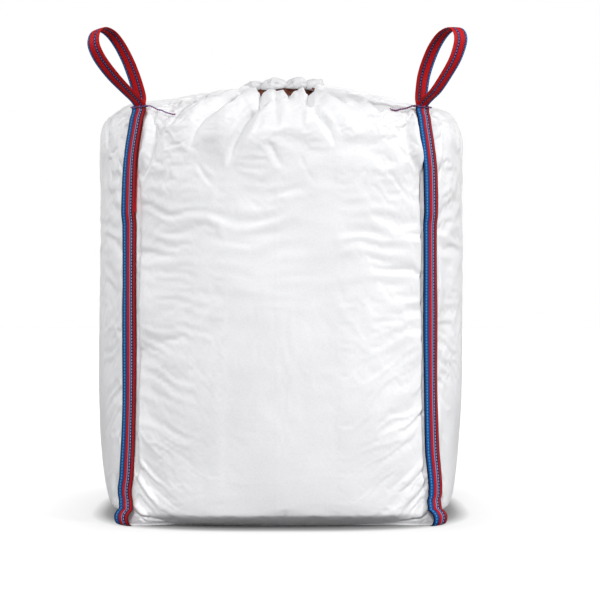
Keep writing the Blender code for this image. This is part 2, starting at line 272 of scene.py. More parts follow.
# %% Twisted cord
TAIL_ROUTES = {
    "front_left": [
        (-0.37335, -0.42230, 1.1725), (-0.3665, -0.4285, 1.1725), (-0.3560, -0.4310, 1.1680),
        (-0.3452, -0.4310, 1.1622), (-0.3334, -0.4365, 1.1590), (-0.3214, -0.4468, 1.1526),
        (-0.3066, -0.4572, 1.1470), (-0.2984, -0.4619, 1.1448), (-0.2924, -0.4648, 1.1443),
    ],
    "front_right": [
        (0.37335, -0.42230, 1.1725), (0.3665, -0.4285, 1.1725), (0.3560, -0.4310, 1.1680),
        (0.3449, -0.4318, 1.1640), (0.3335, -0.4340, 1.1626), (0.3242, -0.4412, 1.1590),
        (0.3186, -0.4446, 1.1580), (0.3097, -0.4480, 1.1587), (0.3014, -0.4486, 1.1618),
    ],
}
TAIL_POINTS = 24
CORD_STEPS = 6  # rings of each strand between two points of the route
STRAND_SIDES = 10
CORD_PITCH = 0.013  # the length in which the strands wind once round each other
STRAND_OFF, STRAND_RADIUS = 0.46, 0.56  # as shares of the cord's radius
FRAY_START = 0.75  # the share of the length from which the strands part
END_TAPER, BLUNT_TIP = 25, 0.04  # the ends narrow over a 25th of the length, to a blunt tip
TAILS = {
    # the finish, the cord's radius, and how far its strands part at the free end
    "front_left": (PALE_CORD, 0.0021, 0.2),
    "front_right": (DEEP_CORD, 0.0027, 0.5),
}


def route_length(points):
    """The sum of the distances from each point to the next."""
    return float(np.linalg.norm(np.diff(points, axis=0), axis=1).sum())


def twisted_cord(name, points, radius, closed=False, fray=0.0):
    """Two strands that wind round the route.

    Each strand's centre is the route's point plus nearly half the radius, turned once in each pitch, and
    the strand is a circle of a little over half the radius round it. At the ends of an open cord the
    strands narrow, and at its far end they part by fray. A closed cord joins its end to its start.
    """
    share = np.linspace(0, 1, len(points) * CORD_STEPS, endpoint=not closed)
    if closed:
        ring = np.vstack([points[-1:], points, points[:2]])
        place = along(ring, (share * len(points) + 1) / (len(ring) - 1))
    else:
        place = along(points, share)
    ahead = np.roll(place, -1, axis=0) - np.roll(place, 1, axis=0) if closed else np.gradient(place, axis=0)
    ahead = unit(ahead)
    side = unit(np.cross(ahead, (0.0, 0.0, 1.0)))
    upper = np.cross(side, ahead)
    steps = np.linalg.norm(np.diff(place, axis=0), axis=1)
    length = np.concatenate([[0], np.cumsum(steps)])
    turns = max(1, round(length[-1] / CORD_PITCH)) / max(length[-1], 1e-9)
    around = np.linspace(0, 2 * math.pi, STRAND_SIDES, endpoint=False)
    points_out, faces_out, uv_out, caps = [], [], [], []
    for strand in (0, 1):
        phase = 2 * math.pi * turns * length + strand * math.pi
        spread = radius * (STRAND_OFF + fray * smooth_step(share, FRAY_START, 1.0))
        middle = place + spread[:, None] * (np.cos(phase)[:, None] * side + np.sin(phase)[:, None] * upper)
        thick = STRAND_RADIUS * radius * np.ones(len(share))
        if not closed:
            thick *= np.sqrt(np.clip(np.minimum(share, 1 - share) * END_TAPER, BLUNT_TIP, 1))
        bearing = around[None, :] + phase[:, None]
        rings = middle[:, None] + thick[:, None, None] * (
            np.cos(bearing)[..., None] * side[:, None] + np.sin(bearing)[..., None] * upper[:, None]
        )
        rows, columns = rings.shape[:2]
        first = sum(len(p) for p in points_out)
        faces_out.append(grid_faces(rows, columns, closed, True)[:, ::-1] + first)
        corner = grid_uv(rows, columns, closed, True)
        u = strand + corner[..., 1] / columns
        v = corner[..., 0] * (length[-1] / rows)
        uv_out.append(np.stack([u, v], axis=-1).reshape(-1, 4, 2)[:, ::-1])
        if not closed:
            last = first + (rows - 1) * columns
            caps += [first + np.arange(columns), last + np.arange(columns)[::-1]]
        points_out.append(rings.reshape(-1, 3))
    return mesh_from(name, np.vstack(points_out), np.vstack(faces_out), np.vstack(uv_out), caps)


for corner, (finish, radius, fray) in TAILS.items():
    route = along(TAIL_ROUTES[corner], np.linspace(0, 1, TAIL_POINTS))
    tail = place_piece(
        f"tail_{corner}", twisted_cord(f"tail_{corner}", route, radius, fray=fray), finish,
        [f"binding_tail_{corner}"],
    )
    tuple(TAIL_ROUTES[corner][0])
    print(tail.name, f"{route_length(route) * 1000:.0f} mm long")

# %% [markdown]
# ## The shape of the filled bag
#
# A full bag stands like a cushion with a flat base. Its shape is given by two lists: half widths and
# heights down the middle of a panel, and down the seam between two panels. At every height the cloth
# bows out in a circular arc from seam to seam. The numbers are the CAD model's own. A share of the way up
# is often given below by the lists' rows, counted from 0 at the floor.

# %% Smooth skin of the bag
MIDDLE = [
    (0.470, 0.0009), (0.503, 0.020), (0.520, 0.070), (0.534, 0.150), (0.545, 0.270), (0.550, 0.450),
    (0.550, 0.700), (0.5495, 0.900), (0.5495, 1.010), (0.542, 1.088), (0.5165, 1.150), (0.455, 1.192),
    (0.370, 1.214), (0.270, 1.230), (0.180, 1.242), (0.126, 1.250), (0.1005, 1.2565), (0.0990, 1.272),
]
SEAM = [
    (0.425, 0.0009), (0.429, 0.020), (0.430, 0.070), (0.428, 0.150), (0.424, 0.270), (0.4215, 0.450),
    (0.421, 0.700), (0.420, 0.900), (0.416, 1.025), (0.406, 1.108), (0.394, 1.164), (0.360, 1.175),
    (0.300, 1.184), (0.235, 1.221), (0.165, 1.2445), (0.105, 1.2535), (0.0711, 1.2565), (0.0700, 1.272),
]
ROWS = len(MIDDLE) - 1
KNOTS = 400  # places along the middle line at which its length is summed up
SEAM_ZONE = (0.85, 1.0)  # where a normal turns into the seam's upright plane


def row_step(up, low, high):
    """smooth_step from one row of the lists to another, for shares of the way up."""
    return smooth_step(up, low / ROWS, high / ROWS)


def smooth_skin(across, height_share):
    """The front panel without folds: at each height a circular arc from seam to seam.

    across runs from -1 at the left seam to 1 at the right one; height_share from 0 at the floor to 1.
    """
    middle, seam = along(MIDDLE, height_share), along(SEAM, height_share)
    half, bulge = seam[..., 0], middle[..., 0] - seam[..., 0]
    radius = (half**2 + bulge**2) / (2 * bulge)
    angle = across * np.arcsin(half / radius)
    x = radius * np.sin(angle)
    y = -(middle[..., 0] - radius + radius * np.cos(angle))
    z = seam[..., 1] + (middle[..., 1] - seam[..., 1]) * (1 - across**2)
    return np.stack([x, y, z], axis=-1)


def skin_frame(across, height_share):
    """Places on the smooth skin, with the outward normal at each.

    Near a seam the normal is turned into the upright plane through the axis, so that two panels that
    share the seam push a point there to the same place.
    """
    step = 1e-4
    low, high = np.clip(height_share - step, 0, 1), np.clip(height_share + step, 0, 1)
    places = smooth_skin(across, height_share)
    sideways = smooth_skin(across + step, height_share) - smooth_skin(across - step, height_share)
    normal = unit(np.cross(sideways, smooth_skin(across, high) - smooth_skin(across, low)))
    around = unit(np.cross((0.0, 0.0, 1.0), places))
    in_plane = normal - (normal * around).sum(axis=-1, keepdims=True) * around
    near_seam = smooth_step(np.abs(across), *SEAM_ZONE)[..., None]
    return places, unit(normal + near_seam * (in_plane - normal))


def flat_place(across, height_share):
    """Where a point lies on the cloth laid flat: sideways from the middle, and up from the floor.

    Sideways it is the arc's length from the panel's middle, and upwards the length of the middle line.
    """
    knots = along(MIDDLE, np.linspace(0, 1, KNOTS))
    upwards = np.concatenate([[0], np.cumsum(np.linalg.norm(np.diff(knots, axis=0), axis=1))])
    middle, seam = along(MIDDLE, height_share), along(SEAM, height_share)
    half, bulge = seam[..., 0], middle[..., 0] - seam[..., 0]
    radius = (half**2 + bulge**2) / (2 * bulge)
    sideways = across * radius * np.arcsin(half / radius)
    return np.stack([sideways, np.interp(height_share, np.linspace(0, 1, KNOTS), upwards)], axis=-1)


print("half width of the cloth at mid height, mm:", np.round(1000 * flat_place(1.0, np.array(0.32))[0]))

# %% [markdown]
# ## Where a fold is
#
# The folds were placed by looking at the picture, so it helps to ask which point of the bag the camera
# sees at a pixel. Projecting a dense sample of the skin and taking the nearest point answers that. From
# here on a fold is a line of such points, and it lies on the cloth from whatever side it is looked at.

# %% From picture to cloth
SAMPLES_ACROSS, SAMPLES_UP = 500, 1100
SAMPLE_TOP = 16.2  # the row of the lists up to which the skin is sampled: the neck tape
NEARER_WINS = 0.02  # of two points seen at one pixel, the one nearer to the camera is taken
SAMPLE_ACROSS, SAMPLE_UP = np.meshgrid(
    np.linspace(-1, 1, SAMPLES_ACROSS), np.linspace(0, SAMPLE_TOP / ROWS, SAMPLES_UP)
)
SAMPLE = smooth_skin(SAMPLE_ACROSS, SAMPLE_UP).reshape(-1, 3)
SAMPLE_DEPTH = CAMERA_DISTANCE + SAMPLE[:, 1]
SAMPLE_COLUMN = AXIS_PIXEL + PIXELS_PER_SLOPE * SAMPLE[:, 0] / SAMPLE_DEPTH
SAMPLE_ROW = IMAGE / 2 - PIXELS_PER_SLOPE * (SAMPLE[:, 2] - CAMERA_HEIGHT) / SAMPLE_DEPTH


def seen_at(column, row):
    """The front panel's point that the camera sees at a pixel: its across and height shares."""
    off = (SAMPLE_COLUMN - column) ** 2 + (SAMPLE_ROW - row) ** 2
    nearest = int(np.argmin(off + NEARER_WINS * SAMPLE_DEPTH))
    return SAMPLE_ACROSS.flat[nearest], SAMPLE_UP.flat[nearest]


def on_skin(pixels):
    """Pixels as points on the front panel's skin."""
    shares = np.array([seen_at(*pixel) for pixel in pixels])
    return smooth_skin(shares[:, 0], shares[:, 1])


def at_neck(bearing, distances):
    """Points near the neck on the smooth skin, at a bearing in degrees from the front, to the right."""
    a = math.radians(bearing)
    sideways = SAMPLE[:, 0][:, None] - [d * math.sin(a) for d in distances]
    forwards = SAMPLE[:, 1][:, None] + [d * math.cos(a) for d in distances]
    off = np.hypot(sideways, forwards)
    return SAMPLE[np.argmin(off, axis=0)]


print("the camera sees the front of the shoulder at", np.round(on_skin([(281, 130)])[0], 3))

# %% [markdown]
# ## What a fold is
#
# Pleats, wrinkles and creases are all lines on the cloth with a height across them. Three profiles are
# enough. A soft one has rounded shoulders and fades into the cloth. A roll stands up like a tube under
# the cloth and ends in a clear edge. A crease is a sharp V. One side of a fold is usually steeper, since
# the cloth there was pulled. The heights of a few dozen folds are added up, and the cloth moves out along
# its normal by the sum.

# %% Folds
MM = 0.001
PROFILES = {
    "soft": lambda q: (1 - q**2) ** 2,
    "roll": lambda q: (1 - q**2) ** 1.25,
    "crease": lambda q: (1 - q) ** 1.8,
}


def nearest_on(points, path, normals):
    """For each point: its distance from the path, the share of the path's length there, and its side.

    The side is 1 on the right of the path as it runs, seen from outside, and -1 on its left.
    """
    best = np.full(len(points), np.inf)
    share, side = np.zeros(len(points)), np.ones(len(points))
    lengths = np.linalg.norm(np.diff(path, axis=0), axis=1)
    start = 0.0
    for a, b, length in zip(path[:-1], path[1:], lengths):
        t = np.clip((points - a) @ (b - a) / max(length**2, 1e-12), 0, 1)
        off = points - a - t[:, None] * (b - a)
        distance = np.linalg.norm(off, axis=1)
        closer = distance < best
        turn = (np.cross(b - a, normals) * off).sum(axis=1)
        best[closer], share[closer] = distance[closer], (start + t * length)[closer]
        side[closer] = np.where(turn[closer] > 0, 1.0, -1.0)
        start += length
    return best, share / start, side


def fold(points, normals, path, shape, heights, widths, steep=1.0, fade=(0.1, 0.3)):
    """The height that one fold adds at each point.

    Across the path it is the profile of its shape at q, the distance over the width there. Height and
    width change evenly from the path's start to its end, and the width is divided by steep on the path's
    right side. Along the path the height grows over fade's first share and dies over its second one.
    """
    path = np.asarray(path, float)
    reach = max(widths) * max(1, 1 / steep)
    near = np.all((points > path.min(axis=0) - reach) & (points < path.max(axis=0) + reach), axis=1)
    out = np.zeros(len(points))
    if not near.any():
        return out
    distance, share, side = nearest_on(points[near], path, normals[near])
    wide = widths[0] + (widths[1] - widths[0]) * share
    wide = np.where(side > 0, wide / steep, wide)
    tall = heights[0] + (heights[1] - heights[0]) * share
    begun = smooth_step(share, -1e-6, max(fade[0], 1e-5))
    ended = smooth_step(share, 1 - max(fade[1], 1e-5), 1.0001)
    out[near] = tall * PROFILES[shape](np.clip(distance / wide, 0, 1)) * (begun * (1 - ended))
    return out


def smooth_path(points, count=14):
    """A few points as a smooth line of count points."""
    return along(points, np.linspace(0, 1, count))


def mirrored(path):
    """The path on the other side of the panel's middle."""
    return path * (-1, 1, 1)


print("fold profiles:", list(PROFILES))

# %% [markdown]
# ## The pleats at the neck
#
# Where 3.6 m of cloth are gathered into a neck of 0.2 m across, it stands in thick rolls with deep creases
# between them. The rolls run down over the shoulder, and some end in round tongues. Each row below is
# one of them: its shape, its bearing at the neck, the pixels that it passes on its way down, its height
# in millimetres at the neck and at its end, its widths there, how steep its right side is and where it
# fades. The other three sides of the bag get the same rows, turned, mirrored and changed a little,
# because nobody's hands gather cloth evenly.

# %% Pleats
PLEATS = [
    (
        "crease", -28, [(260, 104), (251, 115), (243, 128), (235, 144), (228, 162), (222, 178)],
        (-56, -24), (30, 26), 1.5, 0.2,
    ),
    (
        "crease", -72, [(236, 99), (224, 105), (210, 114), (200, 127), (192, 145), (186, 164)],
        (-42, -21), (28, 26), 0.8, 0.22,
    ),
    ("crease", 10, [(287, 98), (288, 104), (290, 112), (293, 124)], (-60, -8), (20, 18), 1.2, 0.5),
    (
        "crease", 40, [(305, 102), (312, 109), (322, 121), (331, 138), (337, 158)],
        (-56, -22), (28, 26), 1.4, 0.22,
    ),
    (
        "crease", 74, [(336, 100), (350, 106), (364, 118), (376, 134), (384, 152)],
        (-34, -11), (26, 26), 1.2, 0.35,
    ),
    ("crease", -6, [(275, 100), (275, 110), (276, 121), (278, 137)], (-14, -14), (16, 26), 2.4, 0.3),
    ("crease", -22, [(266, 103), (261, 117), (256, 134), (254, 152)], (-10, -9), (18, 22), 1.8, 0.4),
    ("crease", 50, [(318, 102), (329, 112), (338, 126), (344, 144)], (-13, -9), (18, 24), 0.8, 0.4),
    ("crease", 20, [(297, 100), (301, 113), (303, 128), (302, 144)], (-8, -8), (16, 22), 1.6, 0.4),
    (
        "roll", -55, [(250, 97), (240, 103), (228, 115), (217, 135), (210, 157), (205, 180)],
        (20, 9), (36, 34), 1.0, 0.3,
    ),
    ("roll", -13, [(270, 95), (266, 106), (261, 122), (258, 142)], (10, 7), (26, 28), 1.0, 0.35),
    ("soft", 2, [(283, 100), (284, 115), (287, 130), (291, 150)], (8, 6), (24, 26), 1.0, 0.4),
    (
        "roll", 26, [(300, 97), (305, 108), (312, 125), (316, 145), (318, 168)],
        (12, 8), (26, 30), 1.0, 0.35,
    ),
    (
        "roll", 56, [(318, 96), (331, 105), (345, 120), (354, 140), (358, 166)],
        (19, 9), (34, 32), 1.0, 0.3,
    ),
    ("soft", 92, [(350, 97), (366, 106), (380, 118), (389, 132)], (12, 8), (30, 28), 1.0, 0.3),
    ("soft", -95, [(224, 98), (206, 104), (190, 116), (180, 132), (174, 150)], (14, 8), (32, 32), 1.0, 0.3),
]
SHOULDER_FOLDS = [
    # shape, pixels, heights at both ends, width, how steep the right side is
    ("crease", [(263, 92), (260, 99), (257, 108), (251, 118)], (-26, -14), 13, 1.6),
    ("crease", [(288, 93), (289, 100), (291, 107)], (-26, -10), 12, 1.0),
    ("crease", [(303, 95), (308, 102), (314, 108), (322, 117)], (-26, -14), 14, 0.8),
    ("crease", [(243, 92), (238, 98), (226, 106)], (-14, -8), 13, 1.4),
    ("crease", [(265, 138), (271, 147), (276, 158), (278, 173)], (-7, -5), 30, 1.4),
    ("crease", [(298, 150), (304, 165), (311, 178), (318, 190)], (-4, -3), 26, 0.7),
    ("crease", [(386, 110), (379, 118), (392, 121), (384, 129), (392, 135)], (-5, -4), 14, 1.5),
    ("crease", [(402, 117), (394, 126), (398, 138)], (-6, -4), 16, 1.0),
    ("crease", [(183, 107), (176, 118), (172, 131)], (-5, -3), 16, 1.2),
    ("crease", [(160, 114), (166, 126), (160, 142)], (-4, -3), 16, 0.8),
    ("crease", [(232, 104), (216, 112), (208, 124)], (-6, -4), 14, 1.4),
    ("crease", [(196, 160), (204, 176), (216, 190)], (-4, -3), 22, 1.4),
    ("crease", [(376, 150), (366, 168), (352, 182)], (-4, -3), 22, 0.8),
]
NECK_RADII = [0.0995, 0.110, 0.130]  # where a pleat starts: from under the tape outwards
PLEAT_POINTS = 22
PLEAT_SEED, SHOULDER_SEED = 7, 11
SIDE_SHIFT, SIDE_KEEP = 0.010, (0.7, 1.15)  # how much the three other sides differ from the front


def all_round(rows, chance):
    """Each row with its path on one side after the other.

    With it come whether that side is mirrored and the share of the row's height that it keeps. The
    mirrored sides are every second one, and all but the front are moved and weakened by chance.
    """
    for side, degrees in enumerate((0, 90, 180, 270)):
        for row, path in rows:
            changed, keep = path, 1.0
            if side:
                changed = path + (chance.normal(0, SIDE_SHIFT), 0, 0)
                keep = chance.uniform(*SIDE_KEEP)
            yield row, turned(mirrored(changed) if side % 2 else changed, degrees), side % 2, keep


def shoulder_paths():
    """Every pleat and small fold round the shoulder, as the arguments of fold()."""
    made = []
    pleats = []
    for row in PLEATS:
        points = np.vstack([at_neck(row[1], NECK_RADII), on_skin(row[2])])
        pleats.append((row, smooth_path(points, PLEAT_POINTS)))
    for row, path, odd, keep in all_round(pleats, np.random.default_rng(PLEAT_SEED)):
        shape, _, _, heights, widths, steep, fade = row
        made.append((
            path, shape, np.array(heights) * MM * keep, np.array(widths) * MM,
            1 / steep if odd else steep, (0.0, fade),
        ))
    small = [(row, smooth_path(on_skin(row[1]))) for row in SHOULDER_FOLDS]
    for row, path, odd, keep in all_round(small, np.random.default_rng(SHOULDER_SEED)):
        shape, _, heights, width, steep = row
        made.append((
            path, shape, np.array(heights) * MM * keep, np.full(2, width * MM),
            1 / steep if odd else steep, (0.3, 0.4),
        ))
    return made


SHOULDER_PATHS = shoulder_paths()
print(len(SHOULDER_PATHS), "folds round the shoulder")

# %% [markdown]
# ## Folds beside the webbing
#
# The webbing is sewn over each corner and pulls the cloth there inwards. Below the knot the cloth stands
# up on both sides of it in a lens-shaped ear with a dark hollow behind it, and near the floor it gathers
# into strong short folds. The rows are for one side of one corner, and are mirrored and turned to all.

# %% Corner folds
SEAM_KNOTS = np.linspace(0, 1, 300)[:200]  # shares of the way up, as far as the seam stands upright


def beside_seam(offset, heights):
    """A path on the front panel, beside its left seam: offsets to the right in metres, at heights."""
    share = np.interp(heights, along(SEAM, SEAM_KNOTS)[:, 1], SEAM_KNOTS)
    half = flat_place(np.ones(len(share)), share)[:, 0]
    return smooth_skin(-1 + np.asarray(offset) / half, share)


CORNER_FOLDS = [
    # shape, offsets from the seam in mm, heights above the floor in m, height and width in mm, steepness
    ("roll", [18, 35, 47, 50, 45, 37, 32], [1.166, 1.150, 1.118, 1.080, 1.040, 1.005, 0.980], 19, 24, 1.0),
    ("crease", [42, 62, 76, 78, 70, 58, 48], [1.16, 1.142, 1.112, 1.076, 1.036, 1.002, 0.975], -6, 11, 1.0),
    ("crease", [20, 27, 29, 28], [1.162, 1.142, 1.120, 1.100], -20, 14, 1.0),
    ("roll", [26, 44, 72, 102], [0.150, 0.118, 0.082, 0.060], 8, 14, 1.5),
    ("crease", [22, 40, 68, 96], [0.130, 0.100, 0.066, 0.046], -6, 15, 1.0),
    ("roll", [28, 50, 84, 120], [0.196, 0.166, 0.134, 0.112], 6, 13, 1.5),
    ("crease", [26, 48, 80, 114], [0.176, 0.146, 0.114, 0.092], -4, 13, 1.0),
    ("roll", [18, 34, 52, 66], [0.075, 0.052, 0.032, 0.018], 9, 16, 1.4),
    ("crease", [30, 52, 80], [0.090, 0.062, 0.036], -8, 12, 1.0),
    ("crease", [14, 40, 78, 120], [0.036, 0.026, 0.018, 0.015], -12, 8, 1.0),
]
# The groove under the strap's edge: offset, height and width in mm, left and right of the panel
GROOVES = {False: (29, -6, 9), True: (31, -12, 11)}
GROOVE_HEIGHTS = [1.000, 0.850, 0.650, 0.450, 0.250, 0.080]
CORNER_SEED = 5
CORNER_LIFT = 0.004  # by how much a fold is moved up or down, so that no two corners are alike
NARROWING = 0.8  # a fold's width at its end, as a share of that at its start


def corner_paths():
    """The folds beside both edges of all four straps, as the arguments of fold()."""
    made = []
    chance = np.random.default_rng(CORNER_SEED)
    for degrees in (0, 90, 180, 270):
        for odd in (False, True):
            for shape, offsets, heights, height, width, steep in CORNER_FOLDS:
                lift = min(chance.normal(0, CORNER_LIFT), CORNER_LIFT)
                path = smooth_path(beside_seam(np.array(offsets) * MM, np.array(heights) + lift))
                made.append((
                    turned(mirrored(path) if odd else path, degrees), shape, np.full(2, height * MM),
                    np.array([width, NARROWING * width]) * MM, 1 / steep if odd else steep, (0.3, 0.35),
                ))
            offset, height, width = GROOVES[odd]
            path = beside_seam(np.full(len(GROOVE_HEIGHTS), offset * MM), np.array(GROOVE_HEIGHTS))
            made.append((
                turned(mirrored(path) if odd else path, degrees), "soft", np.full(2, height * MM),
                np.full(2, width * MM), 1.0, (0.12, 0.1),
            ))
    return made


CORNER_PATHS = corner_paths()
print(len(CORNER_PATHS), "folds beside the webbing")

# %% [markdown]
# ## Wrinkles
#
# The rest of the cloth is covered with shallow wrinkles. They start at the webbing and run towards the
# middle, level in the upper half and ever more downwards in the lower half, where the cement pushes
# hardest; the middle near the floor is stretched smooth. Smooth random hills, drawn out long and thin
# along that direction, give just this. Where the hills pass through zero a thin ridge is raised, which
# makes the wrinkles crisp as those of a stiff film are.

# %% Wrinkles
LATTICE = 64
NOISE_GAIN = 1.9  # brings the mix of the crossings' heights back to nearly -1 to 1
# Heights of the wrinkles, in metres
LONG_HILLS, LONG_RIDGES, LOW_RIDGES = 0.0013, 0.0004, 0.0028
WAVES, WAVE_RIDGES, SWELL = 0.0021, 0.0004, 0.0040
NET, FINER_NET = 0.0018, 0.0008
OTHER_SIDE = 30.0  # so far along the noise that the two sides of a panel are not alike


def soft_noise(x, y, seed):
    """Smooth random hills, one unit apart, between about -1 and 1.

    Each crossing of a lattice gets a random height. A point's height is the mix of the sixteen crossings
    nearest to it, with the weights of a cubic B-spline.
    """
    crossings = np.random.default_rng(seed).uniform(-1, 1, (LATTICE, LATTICE))
    i, j = np.floor(x).astype(int), np.floor(y).astype(int)

    def weights(t):
        """The cubic B-spline's four weights, for a point at t between two crossings."""
        second = (3 * t**3 - 6 * t**2 + 4) / 6
        third = (-3 * t**3 + 3 * t**2 + 3 * t + 1) / 6
        return (1 - t) ** 3 / 6, second, third, t**3 / 6

    total = 0
    for b, down in enumerate(weights(y - j)):
        for a, right in enumerate(weights(x - i)):
            total = total + down * right * crossings[(j + b) % LATTICE, (i + a) % LATTICE]
    return NOISE_GAIN * total


def thin_ridges(noise, width):
    """1 where the noise passes through zero, falling to 0 where it is further than width from it."""
    return np.clip(1 - np.abs(noise) / width, 0, 1) ** 2


def wrinkles(flat, half, seed):
    """The height of the wrinkles at each place of the flat cloth.

    inwards is the distance from the nearer seam. level is the height above the floor, plus a slope times
    inwards: its lines of equal value are the wrinkles' direction. Each kind of wrinkle is noise over such
    a direction, times its height, times a share that says where on the panel it lies. The numbers that
    divide a place are the distances between two hills, in metres.
    """
    x, y = flat[:, 0], flat[:, 1]
    inwards = half - np.abs(x)
    slope = np.interp(y, [0.0, 0.15, 0.45, 0.85, 1.05], [0.60, 0.50, 0.33, 0.12, 0.04])
    side = np.where(x > 0, OTHER_SIDE, 0.0)
    bend = np.minimum(inwards, 0.25)
    level = y + slope * bend + 0.014 * soft_noise(x / 0.06, y / 0.06, seed)
    low = 1 - smooth_step(y, 0.30, 0.80)
    upper = smooth_step(y, 0.70, 0.95)
    near_seam = np.exp(-inwards / (0.055 + 0.06 * low))
    reach = np.clip(near_seam + 0.30 * upper + 0.05, 0, 1)
    long_hills = soft_noise(bend / 0.09 + side, level / 0.0145, seed + 1)
    long_ridges = thin_ridges(soft_noise(bend / 0.13 + side, level / 0.030, seed + 2), 0.30)
    patch = smooth_step(soft_noise(x / 0.10, y / 0.09, seed + 3), -0.5, 0.6)
    total = reach * (LONG_HILLS * long_hills + (LONG_RIDGES + LOW_RIDGES * low) * long_ridges * patch)
    # Level waves right across the upper half, and a slow swell over everything
    wavy = y + 0.012 * np.sin(9 * x + seed) + 0.014 * soft_noise(x / 0.055, y / 0.07, seed + 12)
    waves = soft_noise(x / 0.065, wavy / 0.0135, seed + 4)
    calm = smooth_step(soft_noise(x / 0.12, y / 0.08, seed + 13), -0.7, 0.5)
    wave_ridges = thin_ridges(soft_noise(x / 0.09, (y + 0.010 * np.sin(11 * x)) / 0.034, seed + 5), 0.22)
    across_all = smooth_step(y, 0.45, 0.95) * (1 - 0.9 * smooth_step(y, 0.95, 1.07))
    total += across_all * (WAVES * waves * (0.4 + 0.6 * calm) + WAVE_RIDGES * wave_ridges * patch)
    total += SWELL * soft_noise(x / 0.24, y / 0.20, seed + 6)
    # Crumpled film: a net of short creases in every direction, strongest high up and near the seams
    warp_x = x + 0.012 * soft_noise(x / 0.04, y / 0.04, seed + 7)
    warp_y = y + 0.012 * soft_noise(x / 0.04, y / 0.04, seed + 8)
    net = thin_ridges(soft_noise(warp_x / 0.036, warp_y / 0.027, seed + 9), 0.16)
    finer = thin_ridges(soft_noise(warp_x / 0.021, warp_y / 0.017, seed + 10), 0.16)
    off_middle = 0.35 + 0.65 * smooth_step(np.abs(x), 0.10, 0.30)
    crumpled = smooth_step(y, 0.78, 1.02) * off_middle + 0.25 * near_seam
    where = smooth_step(soft_noise(x / 0.08, y / 0.07, seed + 11), -0.4, 0.5)
    total -= crumpled * (NET * net * where + FINER_NET * finer)
    return total


trial_noise = soft_noise(np.linspace(0, 60, 4000), np.linspace(3, 50, 4000), 1)
print("noise between", np.round(trial_noise.min(), 2), "and", np.round(trial_noise.max(), 2))

# %% [markdown]
# ## The woven cloth
#
# Bulk bags are woven from flat tapes of polypropylene, two to three millimetres wide, and coated. Close
# up the cloth is a fine basket of shiny tapes; from where the camera stands it is a soft white with a
# slight gloss and faint lines. The weave is drawn on the UV map, which is in metres, with its tapes twice
# as wide as the real ones so that they don't flicker at the picture's scale. Noise gives slow changes of
# tone, and a net of cells stands for the tiny creases in the coating. The same cloth has a second, greyer
# tone for the ruffle. This tone is painted shade, because the lamps alone leave the gathered ruffle plain
# white.

# %% Cloth material
TAPE_PITCH = 0.005  # drawn twice as coarse as the real 2.5 mm
# Patterns a metre: slow changes of tone 200 mm apart, flecks 6 mm, creased cells 29 mm and ripples 18 mm
TONE_SCALE, FLECK_SCALE, CREASE_SCALE, RIPPLE_SCALE = 5.0, 160.0, 34.0, 55.0


def cloth_material(name, dark, light):
    """Coated woven tape: a tone between dark and light, a slight gloss, and three layers of small bumps."""
    made, tree, shader = new_material(name)
    uv = add(tree, "ShaderNodeUVMap", uv_map="UVMap")
    parts = add(tree, "ShaderNodeSeparateXYZ", {0: uv.outputs[0]})
    tapes = []
    for axis in (0, 1):
        turn = add(
            tree, "ShaderNodeMath", {0: parts.outputs[axis], 1: math.pi / TAPE_PITCH}, operation="MULTIPLY",
        )
        wave = add(tree, "ShaderNodeMath", {0: turn.outputs[0]}, operation="SINE")
        tapes.append(add(tree, "ShaderNodeMath", {0: wave.outputs[0]}, operation="ABSOLUTE"))
    over = add(tree, "ShaderNodeTexChecker", {"Vector": uv.outputs[0], "Scale": 1 / TAPE_PITCH})
    # Over and under: in one square of the checker the upright tape is on top, in the next the level one
    weave = add(tree, "ShaderNodeMix", {0: over.outputs[1], 2: tapes[0].outputs[0], 3: tapes[1].outputs[0]})
    slow = add(tree, "ShaderNodeTexNoise", {"Vector": uv.outputs[0], "Scale": TONE_SCALE, "Detail": 3.0})
    tone = add(tree, "ShaderNodeValToRGB", {0: slow.outputs[0]}, [(0.3, dark), (0.7, light)])
    flecks = add(tree, "ShaderNodeTexNoise", {"Vector": uv.outputs[0], "Scale": FLECK_SCALE, "Detail": 2.0})
    fleck = add(tree, "ShaderNodeValToRGB", {0: flecks.outputs[0]}, [(0.25, "#fafafb"), (0.6, "#ffffff")])
    colour = add(
        tree, "ShaderNodeMix", {0: 1.0, 6: tone.outputs[0], 7: fleck.outputs[0]},
        data_type="RGBA", blend_type="MULTIPLY",
    )
    cells = add(
        tree, "ShaderNodeTexVoronoi", {"Vector": uv.outputs[0], "Scale": CREASE_SCALE},
        feature="DISTANCE_TO_EDGE",
    )
    crease = add(tree, "ShaderNodeValToRGB", {0: cells.outputs[0]}, [(0.0, "#000000"), (0.12, "#ffffff")])
    fine = add(
        tree, "ShaderNodeTexNoise",
        {"Vector": uv.outputs[0], "Scale": RIPPLE_SCALE, "Detail": 3.0, "Distortion": 0.6},
    )
    bump_weave = add(
        tree, "ShaderNodeBump", {"Height": weave.outputs[0], "Strength": 0.12, "Distance": 0.0001},
    )
    bump_crease = add(
        tree, "ShaderNodeBump",
        {"Height": crease.outputs[0], "Strength": 0.1, "Distance": 0.0003, "Normal": bump_weave.outputs[0]},
    )
    bump_fine = add(
        tree, "ShaderNodeBump",
        {"Height": fine.outputs[0], "Strength": 0.12, "Distance": 0.001, "Normal": bump_crease.outputs[0]},
    )
    use(tree, shader, "Base Color", colour.outputs[2])
    use(tree, shader, "Normal", bump_fine.outputs[0])
    gloss = add(tree, "ShaderNodeValToRGB", {0: slow.outputs[0]}, [(0.2, "#9a9a9a"), (0.8, "#b8b8b8")])
    use(tree, shader, "Roughness", gloss.outputs[0])
    shader.inputs["Specular IOR Level"].default_value = 0.4
    shader.inputs["Sheen Weight"].default_value = 0.15
    return made


